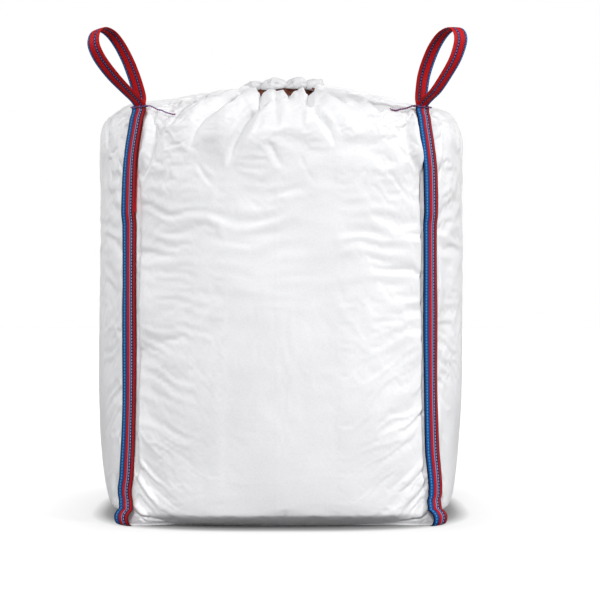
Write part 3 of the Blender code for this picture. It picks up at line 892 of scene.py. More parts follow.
CLOTH = cloth_material("white_woven_polypropylene", "#ededee", "#f6f6f7")
# The ruffle's cloth is the same cloth in a greyer tone: painted shade on the gathered neck.
RUFFLE_CLOTH_PAINTED_SHADE = cloth_material("ruffle_polypropylene_painted_shade", "#d2d2d3", "#dededf")
print("cloth finish:", CLOTH.name, "with tapes", TAPE_PITCH * 1000, "mm wide")

# %% [markdown]
# ## The four panels
#
# A panel is a grid of points on the smooth skin, closer together near the seams and at the top and bottom
# where the folds are. Its height map is the sum of the folds. At the tape the rolls die out, because the
# tape presses them in, but the creases go on under it. The cloth is half a millimetre thick and both of
# its edges are sewn away, so one layer of points shows all that can be seen, and every point that a
# second layer would need goes into finer wrinkles.
#
# Drawn folds alone look like putty, because real cloth has a length that it keeps. So after the large
# folds and a third of the wrinkles are drawn, each panel goes through Blender's cloth simulation. Its
# springs are 0.4 % longer than the sheet in the middle, and up to nearly 3 % longer at the shoulder and
# 1 % beside the seams, while the seams, the neck and the foot are held. The cloth has nowhere to go but
# out of its plane, and it buckles along the folds that it was given. Gravity is off, since the cement
# carries the cloth. Ten frames are enough. They are worked out on every second point and spread to the
# rest, and then the other two thirds of the wrinkles are added, too fine for the simulation.

# %% Panels
FABRIC = 0.0006
PANEL_COLUMNS, PANEL_ROWS = 236, 404
ROW_DENSITY = [1.5, 1.3, 1.2, 1.0, 0.9, 0.85, 0.85, 0.95, 1.1, 1.3, 1.3, 1.15, 1.0, 1.1, 1.5, 2.2, 1.6]
ROW_STEPS = 20  # places between two rows of the lists at which the cloth's length is summed up
SEAM_PACKING = 0.22  # how much closer together the columns are near the seams
PANELS = {"front": 0, "right": 90, "back": 180, "left": 270}
PANEL_SEED = 40
DEEPEST = 0.055  # where creases meet at the neck they add up, and this is as far as they may go in
# The line where the flat bag was folded: its height, its half width and how far left of the middle it is
CREASE, CREASE_HALF, CREASE_OFF = 0.0004, 0.003, 0.012
FOOT_HEIGHT, FOOT_UNDERCUT = 0.036, 0.034  # where the cloth turns under, and how far in
TUCK_FADE = (0.72, 0.92)  # the shares of the way to a seam over which the cloth stops turning under


def panel_shares():
    """The grid's across and height shares: closer together where the density list says so."""
    u = np.linspace(-1, 1, PANEL_COLUMNS + 1)
    across = (1 + SEAM_PACKING) * u - SEAM_PACKING * u**3
    knots = along(MIDDLE, np.linspace(0, 1, ROWS * ROW_STEPS + 1))
    steps = np.linalg.norm(np.diff(knots, axis=0), axis=1) * np.repeat(ROW_DENSITY, ROW_STEPS)
    reached = np.concatenate([[0], np.cumsum(steps)]) / steps.sum()
    up = np.interp(np.linspace(0, 1, PANEL_ROWS + 1), reached, np.linspace(0, 1, len(reached)))
    return np.meshgrid(across, up)


def panel_height(seed, points, normals, flat, across, up):
    """The heights of the folds, of the panel's own wrinkles and of its fold line, at each point.

    The folds are a sum in two parts, raised and sunk. The sunk part is kept above the deepest place by a
    hyperbolic tangent, and the tape leaves a little of it but nothing of the raised part.
    """
    raised, sunk = np.zeros(len(points)), np.zeros(len(points))
    for path, shape, heights, widths, steep, fade in SHOULDER_PATHS + CORNER_PATHS:
        height = fold(points, normals, path, shape, heights, widths, steep, fade)
        if heights[0] > 0:
            raised += height
        else:
            sunk += height
    sunk = -DEEPEST * np.tanh(-sunk / DEEPEST)
    own = wrinkles(flat, np.abs(flat_place(np.ones(len(up)), up)[:, 0]), seed)
    own *= 1 - smooth_step(np.abs(across), 0.90, 0.975)
    own *= 1 - row_step(up, 14.0, 15.5)
    under_tape = 1 - row_step(up, 14.9, 15.7)
    in_tape = 1 - 0.8 * row_step(up, 16.0, 16.5)
    grounded = row_step(up, 0.0, 0.8)
    folds = raised * under_tape + sunk * in_tape
    fold_line = CREASE * np.exp(-((flat[:, 0] + CREASE_OFF) / CREASE_HALF) ** 2)
    fold_line *= 1 - row_step(up, 11, 12)
    return folds * grounded, own * under_tape * grounded, fold_line * grounded


# %% How the cloth settles
CLOTH_STIFFNESS, CLOTH_BENDING = 40.0, 0.1
SETTLE_FRAMES = 10
WEIGHT_STEPS = 20  # the vertex groups' weights are rounded to twentieths
# How much longer than its place the cloth is in the middle, and how much is added above and at the seams
MIDDLE_EXCESS, UPPER_EXCESS, SEAM_EXCESS = 0.004, 0.023, 0.010
SEEDED = 0.35  # the share of the wrinkles that is there before the cloth settles


def settle(points, columns, held, excess, frames):
    """The cloth's points after it has crept into its wrinkles, by Blender's cloth simulation.

    The sheet's springs are longer than the sheet drawn, by the share excess at each point, and its held
    points don't move, so it can only buckle. A negative shrink is a stretch: a vertex group sets it for
    each point, from the most where its weight is 0 to none where it is 1.
    """
    mesh = mesh_from("settling", points, grid_faces(len(points) // columns, columns))
    sheet = bpy.data.objects.new("settling", mesh)
    bpy.context.scene.collection.objects.link(sheet)
    for title, weights in (("held", held), ("tight", 1 - excess / excess.max())):
        group = sheet.vertex_groups.new(name=title)
        levels = np.round(weights * WEIGHT_STEPS).astype(int)
        for level in range(1, WEIGHT_STEPS + 1):
            group.add(np.nonzero(levels == level)[0].tolist(), level / WEIGHT_STEPS, "REPLACE")
    cloth = sheet.modifiers.new("Cloth", "CLOTH")
    cloth.settings.quality = 4
    cloth.settings.mass = 0.3
    cloth.settings.tension_stiffness = CLOTH_STIFFNESS
    cloth.settings.compression_stiffness = CLOTH_STIFFNESS
    cloth.settings.shear_stiffness = CLOTH_STIFFNESS / 3
    cloth.settings.bending_stiffness = CLOTH_BENDING
    cloth.settings.air_damping = 2
    cloth.settings.vertex_group_mass = "held"
    cloth.settings.vertex_group_shrink = "tight"
    cloth.settings.shrink_min = -float(excess.max())
    cloth.settings.shrink_max = 0.0
    cloth.settings.effector_weights.gravity = 0
    cloth.collision_settings.use_collision = False
    cloth.point_cache.frame_start = 1
    cloth.point_cache.frame_end = frames
    for frame_number in range(1, frames + 1):
        bpy.context.scene.frame_set(frame_number)
    settled = sheet.evaluated_get(bpy.context.evaluated_depsgraph_get()).data
    made = np.empty(len(points) * 3, np.float32)
    settled.vertices.foreach_get("co", made)
    bpy.context.scene.frame_set(1)
    bpy.data.objects.remove(sheet)
    return made.reshape(-1, 3).astype(float)


def settled_shift(points, rows, columns, across, up):
    """How far each point moves as the cloth settles.

    It is worked out on every second row and column, and spread to the others by smooth curves, first
    along the columns and then along the rows. The seams, the neck and the foot are held.
    """
    picked = points.reshape(rows, columns, 3)[::2, ::2]
    sideways, height = np.abs(across[::2, ::2]), up[::2, ::2]
    held = np.maximum(smooth_step(sideways, 0.93, 0.97), row_step(height, 13.2, 14.4))
    held = np.maximum(held, 1 - row_step(height, 0.3, 0.7))
    upper = row_step(height, 8.3, 10.5)
    near_seam = smooth_step(sideways, 0.35, 0.9)
    low = 1 - row_step(height, 3, 5.5)
    excess = MIDDLE_EXCESS + UPPER_EXCESS * upper + SEAM_EXCESS * near_seam * (0.5 + 0.5 * low)
    started = time.time()
    before = picked.reshape(-1, 3)
    after = settle(before, picked.shape[1], held.ravel(), excess.ravel(), SETTLE_FRAMES)
    moved = np.round(1000 * np.abs(after - before).max(), 1)
    print(f"{len(before)} points settled in {time.time() - started:.1f} s and moved up to {moved} mm")
    shift = (after - before).reshape(picked.shape)
    shift = along(shift, np.linspace(0, 1, rows)).transpose(1, 0, 2)
    return along(shift, np.linspace(0, 1, columns)).transpose(1, 0, 2).reshape(-1, 3)


# %% Panels, dressed
def make_panel(name, degrees):
    """The smooth skin, moved along its normals by the folds, then by the settling and then by the rest.

    Near the floor the cloth is moved level and inwards, under the bag, and nothing goes below the floor.
    """
    across, up = panel_shares()
    places, normals = skin_frame(across, up)
    flat = flat_place(across, up).reshape(-1, 2)
    points = turned(places, degrees).reshape(-1, 3)
    facing = turned(normals, degrees).reshape(-1, 3)
    folds, own, line = panel_height(PANEL_SEED + degrees, points, facing, flat, across.ravel(), up.ravel())
    rise = np.round(1000 * (folds + own), 1)
    points = points + (folds + SEEDED * own)[:, None] * facing
    inwards = turned(np.array([0.0, 1.0, 0.0]), degrees)
    under = smooth_step(FOOT_HEIGHT - places.reshape(-1, 3)[:, 2], -0.004, 0.030)
    under *= 1 - smooth_step(np.abs(across.ravel()), *TUCK_FADE)
    points = points + settled_shift(points, *across.shape, across, up)
    points = points + ((1 - SEEDED) * own + line)[:, None] * facing
    points = points + FOOT_UNDERCUT * under[:, None] * inwards
    points[:, 2] = np.maximum(points[:, 2], FABRIC)
    faces = grid_faces(*across.shape)
    mesh = mesh_from(f"{name}_cloth", points, faces, flat[faces])
    panel = place_piece(f"{name}_cloth", mesh, CLOTH, [f"{name}_panel"])
    print(panel.name, len(faces), "quads, folds", rise.min(), "to", rise.max(), "mm")
    return panel


PANEL_PIECES = [make_panel(name, degrees) for name, degrees in PANELS.items()]

# %% [markdown]
# ## The cement inside
#
# Nobody sees the fill, but it is what holds the bag up, and a view from below or a cut needs it. It is a
# closed form that lies 30 mm inside the skin, and 55 mm inside it near the neck, where the cloth's folds
# are deepest.

# %% Cement
FILL_INSET = 0.030
FILL_INSET_AT_NECK = 0.055
FILL_ROWS, FILL_COLUMNS = 44, 24  # rings, and columns on each of the four sides
FILL_SPAN = (0.3, 14.5)  # the rows of the lists between which the rings lie
GRAINS, LUMPS = 900.0, 14.0  # patterns a metre: grains drawn about 1 mm wide, and lumps of 70 mm


def powder_material():
    """Dry grey powder: a dull surface with lumps of slightly different tone and fine grains."""
    made, tree, shader = new_material("grey_cement")
    place = add(tree, "ShaderNodeTexCoord")
    grain = add(
        tree, "ShaderNodeTexNoise", {"Vector": place.outputs["Object"], "Scale": GRAINS, "Detail": 4.0},
    )
    lumps = add(
        tree, "ShaderNodeTexNoise", {"Vector": place.outputs["Object"], "Scale": LUMPS, "Detail": 5.0},
    )
    tone = add(tree, "ShaderNodeValToRGB", {0: lumps.outputs[0]}, [(0.3, "#86857f"), (0.7, "#9d9c96")])
    rough = add(tree, "ShaderNodeBump", {"Height": grain.outputs[0], "Strength": 0.5, "Distance": 0.0006})
    use(tree, shader, "Base Color", tone.outputs[0])
    use(tree, shader, "Normal", rough.outputs[0])
    shader.inputs["Roughness"].default_value = 0.95
    return made


def make_fill():
    """Rings of all four sides at each height, moved inwards along the skin's normals.

    At the foot the normals point down as well as out, so the lowest ring ends 18 mm above the floor. A
    fan of triangles round a point in the middle closes it, and another closes the highest ring.
    """
    across = np.linspace(-1, 1, FILL_COLUMNS, endpoint=False)
    rings = []
    for up in np.linspace(FILL_SPAN[0] / ROWS, FILL_SPAN[1] / ROWS, FILL_ROWS):
        places, normals = skin_frame(across, np.full(len(across), up))
        inset = FILL_INSET + (FILL_INSET_AT_NECK - FILL_INSET) * row_step(up, 10, 13)
        ring = np.vstack([turned(places - inset * normals, degrees) for degrees in PANELS.values()])
        rings.append(ring)
    grid = np.array(rings)
    rows, columns = grid.shape[:2]
    middles = np.array([[0, 0, grid[0, :, 2].min()], [0, 0, grid[-1, :, 2].mean()]])
    here = np.arange(columns)
    beside = (here + 1) % columns
    top = (rows - 1) * columns
    hub = np.full(columns, rows * columns)
    lower_fan = np.stack([beside, here, hub], axis=1)
    upper_fan = np.stack([top + here, top + beside, hub + 1], axis=1)
    faces = grid_faces(rows, columns, False, True).tolist() + lower_fan.tolist() + upper_fan.tolist()
    mesh = bpy.data.meshes.new("cement_inside")
    mesh.from_pydata(np.vstack([grid.reshape(-1, 3), middles]).tolist(), [], faces)
    mesh.shade_smooth()
    return mesh


fill = place_piece("cement_inside", make_fill(), powder_material(), ["cement_fill"])
print(fill.name, len(fill.data.polygons), "faces")

# %% [markdown]
# ## The base sheet
#
# The bag stands on a square of the same cloth, sewn to the panels with a narrow hem that shows at the
# floor. It is a flat sheet of rings, from the middle out to a hem that stands a few millimetres proud of
# the panels and lifts a little off the floor between the corners.

# %% Base
HEM_LIP = 0.005
HEM_WAVE, HEM_LIFT = 0.0006, 0.0012  # how far the hem wavers, and how far it lifts off the floor
BASE_RINGS, HEM_RINGS = 30, 6
BASE_COLUMNS = 48  # on each of the four sides


def make_base():
    """Rings that grow from the middle to the outline of the panels' lower edge, plus the hem's lip."""
    across = np.linspace(-1, 1, BASE_COLUMNS, endpoint=False)
    foot = smooth_skin(across, np.zeros(len(across)))
    edge = np.vstack([turned(foot, degrees) for degrees in PANELS.values()])[:, :2]
    bearing = np.arctan2(edge[:, 1], edge[:, 0])
    distance = np.linalg.norm(edge, axis=1)
    share = np.concatenate([
        np.linspace(0.02, 0.97, BASE_RINGS - HEM_RINGS), np.linspace(0.975, 1.0, HEM_RINGS),
    ])
    off_corner = np.abs(np.concatenate([across] * 4))
    tucked = (FOOT_UNDERCUT + HEM_LIP) * (1 - smooth_step(off_corner, *TUCK_FADE))
    radius = share[:, None] * (distance + HEM_LIP - tucked)[None, :]
    radius[-HEM_RINGS:] += HEM_WAVE * np.sin(23 * bearing) * np.linspace(0, 1, HEM_RINGS)[:, None]
    lift = FABRIC + HEM_LIFT * (1 + np.sin(9 * bearing + 1)) * smooth_step(share, 0.978, 1.0)[:, None]
    grid = np.stack([radius * np.cos(bearing), radius * np.sin(bearing), lift + 0 * radius], axis=-1)
    rows, columns = grid.shape[:2]
    faces = grid_faces(rows, columns, False, True)
    uv = grid[..., :2].reshape(-1, 2)[faces]
    cap = [np.arange(columns)[::-1]]
    return mesh_from("base_cloth", grid, faces[:, ::-1], uv[:, ::-1], cap)


base = place_piece("base_cloth", make_base(), CLOTH, ["base_panel"])
thickness = base.modifiers.new("Cloth thickness", "SOLIDIFY")
thickness.thickness = FABRIC
thickness.offset = 1
print(base.name, len(base.data.polygons), "faces")

# %% [markdown]
# ## The ruffle
#
# Above the tie the ends of the panels stand out as a ring of soft rolls, pinched where the tape pulls
# them in. The roll's outline is a closed sweep: up out of the tape, out over the drooping lip, round the
# top and down into the hollow middle. It is blended between two profiles, one for the fat middle of a
# roll and one for the pinch between two rolls. Dents and small creases are then pushed in along its
# normals. Its cloth has a greyer tone, which is painted shade.

# %% Ruffle
RUFFLE_SHIFT = 0.010  # the ruffle leans to the right
PINCHES = [-80, -37, 4, 37, 80, 121, 163, 206, 243]  # bearings in degrees, from the front to the right
ROLL_PROFILE = [
    # radius and height in metres, from inside the tape out and round to the hollow in the middle
    (0.0965, 1.2600), (0.0985, 1.2680), (0.1040, 1.2690), (0.1110, 1.2620), (0.1190, 1.2575),
    (0.1270, 1.2605), (0.1315, 1.2690), (0.1320, 1.2790), (0.1270, 1.2880), (0.1180, 1.2935),
    (0.1060, 1.2945), (0.0940, 1.2900), (0.0820, 1.2850), (0.0700, 1.2820), (0.0480, 1.2800),
    (0.0200, 1.2800),
]
PINCH_PROFILE = [
    (0.0965, 1.2600), (0.0972, 1.2670), (0.0985, 1.2685), (0.1010, 1.2670), (0.1035, 1.2650),
    (0.1060, 1.2655), (0.1080, 1.2690), (0.1085, 1.2730), (0.1070, 1.2770), (0.1035, 1.2800),
    (0.0985, 1.2820), (0.0930, 1.2825), (0.0850, 1.2815), (0.0740, 1.2800), (0.0500, 1.2790),
    (0.0200, 1.2800),
]
RUFFLE_FOLDS = [
    # bearing and share of the profile at the middle; half sizes in degrees and share; tilt; depth in mm
    (-36, 0.575, 14, 0.050, 0.0020, -13), (-19, 0.500, 4, 0.060, 0.0, -9),
    (8, 0.500, 5, 0.090, 0.0, -10), (-62, 0.450, 5, 0.200, -0.0035, -5),
    (-48, 0.480, 5, 0.170, -0.0035, 4), (52, 0.480, 5, 0.110, 0.0060, -7),
    (62, 0.560, 10, 0.045, 0.0030, 5), (66, 0.420, 8, 0.060, 0.0030, -6),
    (24, 0.560, 12, 0.050, -0.0010, 3), (28, 0.440, 8, 0.050, 0.0020, -3),
    (-8, 0.440, 7, 0.050, -0.0020, -4), (-12, 0.560, 9, 0.040, 0.0010, 4),
    (100, 0.500, 5, 0.120, 0.004, -8), (135, 0.550, 12, 0.050, -0.002, -9),
    (175, 0.480, 5, 0.120, 0.003, -7), (-105, 0.500, 6, 0.100, 0.003, -7),
    (-140, 0.560, 11, 0.050, 0.002, -9), (148, 0.440, 7, 0.060, 0.0, -5),
]
RUFFLE_COLUMNS, RUFFLE_RINGS = 360, 64
RUFFLE_FLAT = (0.80, 0.16)
FAT_POWER = 0.55  # below 1, so that rolls are fat and pinches narrow
DEEPENING, DENT_POWER = 1.5, 1.2  # how much deeper the folds are drawn, and how pointed a dent is
FINE_CREASES = 0.0011, 0.0006  # heights of two waves that run round the ruffle


def make_ruffle():
    """Radius and height are a mix of the two profiles, by how near the bearing is to a pinch.

    Between two pinches the mix is a half sine to a small power, which makes fat rolls and narrow pinches.
    Small waves along each roll crease it.
    """
    bearing = np.linspace(-180, 180, RUFFLE_COLUMNS, endpoint=False)
    pinches = np.array(sorted((np.array(PINCHES) + 180) % 360 - 180))
    wrapped = np.concatenate([pinches, [pinches[0] + 360]])
    shifted = np.where(bearing < pinches[0], bearing + 360, bearing)
    index = np.searchsorted(wrapped, shifted, side="right") - 1
    span = wrapped[index + 1] - wrapped[index]
    place = (shifted - wrapped[index]) / span
    fat = np.sin(math.pi * place) ** FAT_POWER
    # No two rolls have quite the same size and lean
    size = 0.95 + 0.07 * np.cos(2.3 * index + 1.0)
    lean = np.sin(1.7 * index) * 0.5
    share = np.linspace(0, 1, RUFFLE_RINGS)
    roll, pinch = along(ROLL_PROFILE, share), along(PINCH_PROFILE, share)
    mix = (fat * size)[None, :, None]
    profile = pinch[:, None] + mix * (roll - pinch)[:, None]
    out = smooth_step(share, 0.08, 0.4)[:, None] * (1 - smooth_step(share, 0.8, 1.0))[:, None]
    crease = np.sin(np.radians(bearing) * 31 + 3 * np.sin(np.radians(bearing) * 4)) * FINE_CREASES[0]
    crease = crease + np.sin(np.radians(bearing) * 53 + 1.3) * FINE_CREASES[1]
    profile[..., 0] += out * crease * mix[..., 0]
    profile[..., 1] += out * (0.0035 * np.sin(2 * np.radians(bearing) + 0.6) + 0.002 * lean) * mix[..., 0]
    turn = np.radians(bearing)[None, :] + out * lean * 0.10 * np.sin(math.pi * place)[None, :]
    x = profile[..., 0] * np.sin(turn) + RUFFLE_SHIFT * smooth_step(share, 0.1, 0.5)[:, None]
    y = -profile[..., 0] * np.cos(turn)
    grid = np.stack([x, y, profile[..., 1]], axis=-1)
    normal = unit(np.cross(np.roll(grid, -1, axis=1) - np.roll(grid, 1, axis=1), np.gradient(grid, axis=0)))
    push = 0
    for middle, at, half_turn, half_share, tilt, depth in RUFFLE_FOLDS:
        off = (bearing - middle + 180) % 360 - 180
        down = share[:, None] - at - tilt * off[None, :]
        q = np.hypot(off[None, :] / half_turn, down / half_share)
        push = push + DEEPENING * depth * MM * np.clip(1 - q, 0, 1) ** (DENT_POWER if depth < 0 else 1.0)
    grid = grid + (out * push)[..., None] * normal
    rows, columns = grid.shape[:2]
    faces = grid_faces(rows, columns, False, True)
    corner = grid_uv(rows, columns, False, True).reshape(-1, 4, 2)
    uv = np.stack(
        [corner[..., 1] * (RUFFLE_FLAT[0] / columns), corner[..., 0] * (RUFFLE_FLAT[1] / rows)], axis=-1
    )
    top = (rows - 1) * columns + np.arange(columns)
    return mesh_from("neck_ruffle", grid, faces, uv, [top])


ruffle = place_piece("neck_ruffle", make_ruffle(), RUFFLE_CLOTH_PAINTED_SHADE, ["gathered_neck"])
print(ruffle.name, len(ruffle.data.polygons), "faces")

# %% [markdown]
# ## The neck tape
#
# A flat brown tape is wound round the neck and tied. The rolls of the ruffle and the pleats below it hide
# nearly all of it: only a thin line shows, and patches in the valleys between the pleats. So it is a band
# with an uneven lower edge that hangs lower than its solid, down into the valleys, and a loose end.

# %% Tape
TAPE_RADIUS = 0.1022
TAPE_TOP, TAPE_BOTTOM = 1.2665, 1.2400
TAPE_THICKNESS = 0.0012
TAPE_ENDS = [
    # the loose ends' routes, and their widths at the start and the tip
    (
        [(-0.085, -0.050, 1.256), (-0.098, -0.060, 1.253), (-0.110, -0.070, 1.255), (-0.119, -0.078, 1.260)],
        0.008, 0.003,
    ),
    (
        [(0.092, -0.098, 1.264), (0.104, -0.098, 1.260), (0.118, -0.088, 1.259), (0.132, -0.072, 1.260)],
        0.006, 0.004,
    ),
]
TAPE_END_POINTS = 14
TAPE_UV_WIDTH, TAPE_END_UV_WIDTH = 0.03, 0.008
WORN_PATCHES, TAPE_RIBS = 60.0, 160.0  # patterns a metre: patches of 17 mm, and ribs of 6 mm
EDGE_THINNING = 0.55  # how much thinner a strip is at its very edge


def tape_material():
    """Brown yarn with worn patches and ribs that run along the tape."""
    made, tree, shader = new_material("brown_woven_tape")
    uv = add(tree, "ShaderNodeUVMap", uv_map="UVMap")
    slow = add(tree, "ShaderNodeTexNoise", {"Vector": uv.outputs[0], "Scale": WORN_PATCHES, "Detail": 3.0})
    tone = add(tree, "ShaderNodeValToRGB", {0: slow.outputs[0]}, [(0.3, "#4e2218"), (0.7, "#8a4a32")])
    ribs = add(
        tree, "ShaderNodeTexWave", {"Vector": uv.outputs[0], "Scale": TAPE_RIBS, "Distortion": 0.4},
        bands_direction="X",
    )
    bump = add(tree, "ShaderNodeBump", {"Height": ribs.outputs[1], "Strength": 0.5, "Distance": 0.0004})
    use(tree, shader, "Base Color", tone.outputs[0])
    use(tree, shader, "Normal", bump.outputs[0])
    shader.inputs["Roughness"].default_value = 0.8
    return made


def ribbon(middle, wide, thick, widths, thickness, uv_width=1.0, round_path=False, corners=9, cup=0.0):
    """A closed flat strip along a path.

    middle are the path's points, wide the unit vectors across the strip and thick those out of its face.
    The outline of a section is a flat loop: over the face from one edge to the other, and back under it.
    The face sags by cup at its edges. The result is what mesh_from takes after the name.
    """
    over = np.linspace(1, -1, corners)
    across = np.concatenate([over, over[::-1]])
    out = np.concatenate([np.full(corners, 0.5), np.full(corners, -0.5)])
    rounding = 1 - EDGE_THINNING * (np.abs(across) > 0.999)
    widths = np.broadcast_to(widths, (len(middle),))
    section_across = across[None, :] * widths[:, None] / 2
    section_out = (out * rounding * thickness)[None, :] - cup * across[None, :] ** 2
    points = middle[:, None] + section_across[..., None] * wide[:, None]
    points = points + section_out[..., None] * thick[:, None]
    rows, columns = points.shape[:2]
    faces = grid_faces(rows, columns, round_path, True)
    u_of = (1 - across) / 2 * uv_width
    corner = grid_uv(rows, columns, round_path, True).reshape(-1, 4, 2).astype(int)
    steps = np.linalg.norm(np.diff(np.vstack([middle, middle[:1]]), axis=0), axis=1)
    v_of = np.concatenate([[0], np.cumsum(steps)])
    uv = np.stack([u_of[corner[..., 1] % columns], v_of[corner[..., 0]]], axis=-1)
    ring = np.arange(columns)
    caps = [] if round_path else [ring, (rows - 1) * columns + ring[::-1]]
    return points, faces, uv, caps


def join_parts(name, parts):
    """Several sets of points, faces, UV pairs and end caps as one mesh."""
    first, points, faces, uvs, caps = 0, [], [], [], []
    for part_points, part_faces, part_uv, part_caps in parts:
        flat = part_points.reshape(-1, 3)
        points.append(flat)
        faces.append(part_faces + first)
        uvs.append(part_uv)
        caps += [np.asarray(ring) + first for ring in part_caps]
        first += len(flat)
    return mesh_from(name, np.vstack(points), np.vstack(faces), np.vstack(uvs), caps)


def make_tape():
    """A band round the neck whose edges and radius waver by sums of sines, and the two loose ends."""
    bearing = np.radians(np.linspace(-180, 180, 240, endpoint=False))
    low = TAPE_BOTTOM + 0.003 * np.sin(5 * bearing + 0.8) + 0.002 * np.sin(11 * bearing)
    high = TAPE_TOP + 0.001 * np.sin(7 * bearing)
    radius = TAPE_RADIUS + 0.0005 * np.sin(9 * bearing + 2)
    outwards = np.stack([np.sin(bearing), -np.cos(bearing), 0 * bearing], axis=1)
    middle = radius[:, None] * outwards + ((low + high) / 2)[:, None] * np.array([0.0, 0.0, 1.0])
    up = np.tile((0.0, 0.0, 1.0), (len(bearing), 1))
    parts = [ribbon(middle, up, outwards, high - low, TAPE_THICKNESS, TAPE_UV_WIDTH, True)]
    for route, first, last in TAPE_ENDS:
        end_route = along(route, np.linspace(0, 1, TAPE_END_POINTS))
        ahead = unit(np.gradient(end_route, axis=0))
        level = unit(np.cross(ahead, (0.0, 1.0, 0.0)))
        widths = np.linspace(first, last, TAPE_END_POINTS)
        parts.append(
            ribbon(end_route, level, np.cross(ahead, level), widths, TAPE_THICKNESS, TAPE_END_UV_WIDTH)
        )
    return join_parts("tape_round_neck", parts)


tape = place_piece("tape_round_neck", make_tape(), tape_material(), ["neck_tape"])
print(tape.name, len(tape.data.polygons), "faces")

# %% [markdown]
# ## The webbing's finish
#
# Both webbings are woven from red and blue yarn: stripes along their length, with rows of pale stitches
# where they are sewn down. The UV map's first number is the share of the way across, so a colour ramp on
# it draws the stripes. The second is in metres along the webbing, and its remainder gives the dashes of a
# row of stitches and the ribs of the weave. The strap's ramp also paints shadow: near-black bands at both
# edges stand for the dark gap where the strap's edge stands off the cloth.

# %% Webbing material
RIB_PITCH = 0.0045  # drawn twice as coarse as the real ribs
STITCH_PITCH = 0.0085
STITCH_SHARE = 0.62  # how much of the pitch the thread covers
RAGGED, RAGGED_SCALE = 0.03, 90.0  # how far a stripe's edge wanders, and how often in a metre
YARN_SCALE = 260.0  # changes of tone along the yarn, 4 mm apart


def webbing_material(name, stripes, seams):
    """Striped webbing: stripes are (place, colour) pairs, and seams are rows of stitches.

    A seam has its place, its half width and its colour. A stitch is where both the place is within the
    half width and the remainder of the length over the pitch is below the thread's share.
    """
    made, tree, shader = new_material(name)
    uv = add(tree, "ShaderNodeUVMap", uv_map="UVMap")
    parts = add(tree, "ShaderNodeSeparateXYZ", {0: uv.outputs[0]})
    noise = add(tree, "ShaderNodeTexNoise", {"Vector": uv.outputs[0], "Scale": RAGGED_SCALE, "Detail": 2.0})
    shift = add(
        tree, "ShaderNodeMath", {0: noise.outputs[0], 1: RAGGED, 2: -RAGGED / 2}, operation="MULTIPLY_ADD",
    )
    place = add(tree, "ShaderNodeMath", {0: parts.outputs[0], 1: shift.outputs[0]}, operation="ADD")
    colour = add(tree, "ShaderNodeValToRGB", {0: place.outputs[0]}, stripes).outputs[0]
    yarn = add(tree, "ShaderNodeTexNoise", {"Vector": uv.outputs[0], "Scale": YARN_SCALE, "Detail": 3.0})
    tone = add(tree, "ShaderNodeValToRGB", {0: yarn.outputs[0]}, [(0.25, "#cecece"), (0.7, "#ffffff")])
    colour = add(
        tree, "ShaderNodeMix", {0: 1.0, 6: colour, 7: tone.outputs[0]},
        data_type="RGBA", blend_type="MULTIPLY",
    ).outputs[2]
    turn = add(tree, "ShaderNodeMath", {0: parts.outputs[1], 1: 1 / STITCH_PITCH}, operation="MULTIPLY")
    dash = add(tree, "ShaderNodeMath", {0: turn.outputs[0]}, operation="FRACT")
    raised = None
    for middle, half, thread in seams:
        on_line = add(
            tree, "ShaderNodeMath", {0: place.outputs[0], 1: middle, 2: half}, operation="COMPARE",
        )
        on_dash = add(tree, "ShaderNodeMath", {0: dash.outputs[0], 1: STITCH_SHARE}, operation="LESS_THAN")
        stitch = add(
            tree, "ShaderNodeMath", {0: on_line.outputs[0], 1: on_dash.outputs[0]}, operation="MULTIPLY",
        )
        colour = add(
            tree, "ShaderNodeMix", {0: stitch.outputs[0], 6: colour, 7: linear(thread)}, data_type="RGBA",
        ).outputs[2]
        raised = stitch if raised is None else add(
            tree, "ShaderNodeMath", {0: raised.outputs[0], 1: stitch.outputs[0]}, operation="MAXIMUM",
        )
    rib_turn = add(
        tree, "ShaderNodeMath", {0: parts.outputs[1], 1: 2 * math.pi / RIB_PITCH}, operation="MULTIPLY",
    )
    ribs = add(tree, "ShaderNodeMath", {0: rib_turn.outputs[0]}, operation="SINE")
    bump_ribs = add(
        tree, "ShaderNodeBump", {"Height": ribs.outputs[0], "Strength": 0.3, "Distance": 0.0003},
    )
    bump = add(
        tree, "ShaderNodeBump",
        {"Height": raised.outputs[0], "Strength": 0.8, "Distance": 0.0008, "Normal": bump_ribs.outputs[0]},
    )
    use(tree, shader, "Base Color", colour)
    use(tree, shader, "Normal", bump.outputs[0])
    shader.inputs["Roughness"].default_value = 0.62
    shader.inputs["Specular IOR Level"].default_value = 0.15
    return made


STRAP_WEBBING_SHADED_EDGES = webbing_material(
    "strap_webbing_painted_edge_shadow",
    [
        # The stops at 0.00, 0.06 and 1.00 are painted shadow: near-black edges for the dark gap under the
        # strap's edge.
        (0.00, "#04050a"), (0.06, "#08123a"), (0.10, "#0f529c"), (0.32, "#0f4c94"), (0.36, "#0c1440"),
        (0.41, "#c0121a"), (0.55, "#cc1418"), (0.58, "#8f9cc6"), (0.62, "#6a78ae"), (0.65, "#141e56"),
        (0.76, "#101a4c"), (0.80, "#180812"), (0.83, "#c0141e"), (0.95, "#a0101a"), (1.00, "#0c0408"),
    ],
    [(0.20, 0.036, "#3796cc"), (0.71, 0.024, "#a4aed2")],
)
LOOP_WEBBING = webbing_material(
    "red_and_blue_loop_webbing",
    [
        (0.00, "#12346c"), (0.04, "#2264b2"), (0.12, "#1a4a94"), (0.17, "#10163c"), (0.21, "#cc141a"),
        (0.54, "#da181c"), (0.58, "#141c4a"), (0.72, "#1a2660"), (0.77, "#c8161c"), (0.95, "#e62420"),
        (1.00, "#a41418"),
    ],
    [(0.66, 0.030, "#7c8ac2"), (0.09, 0.022, "#5a9cd8")],
)
print("webbing finishes:", STRAP_WEBBING_SHADED_EDGES.name, LOOP_WEBBING.name)

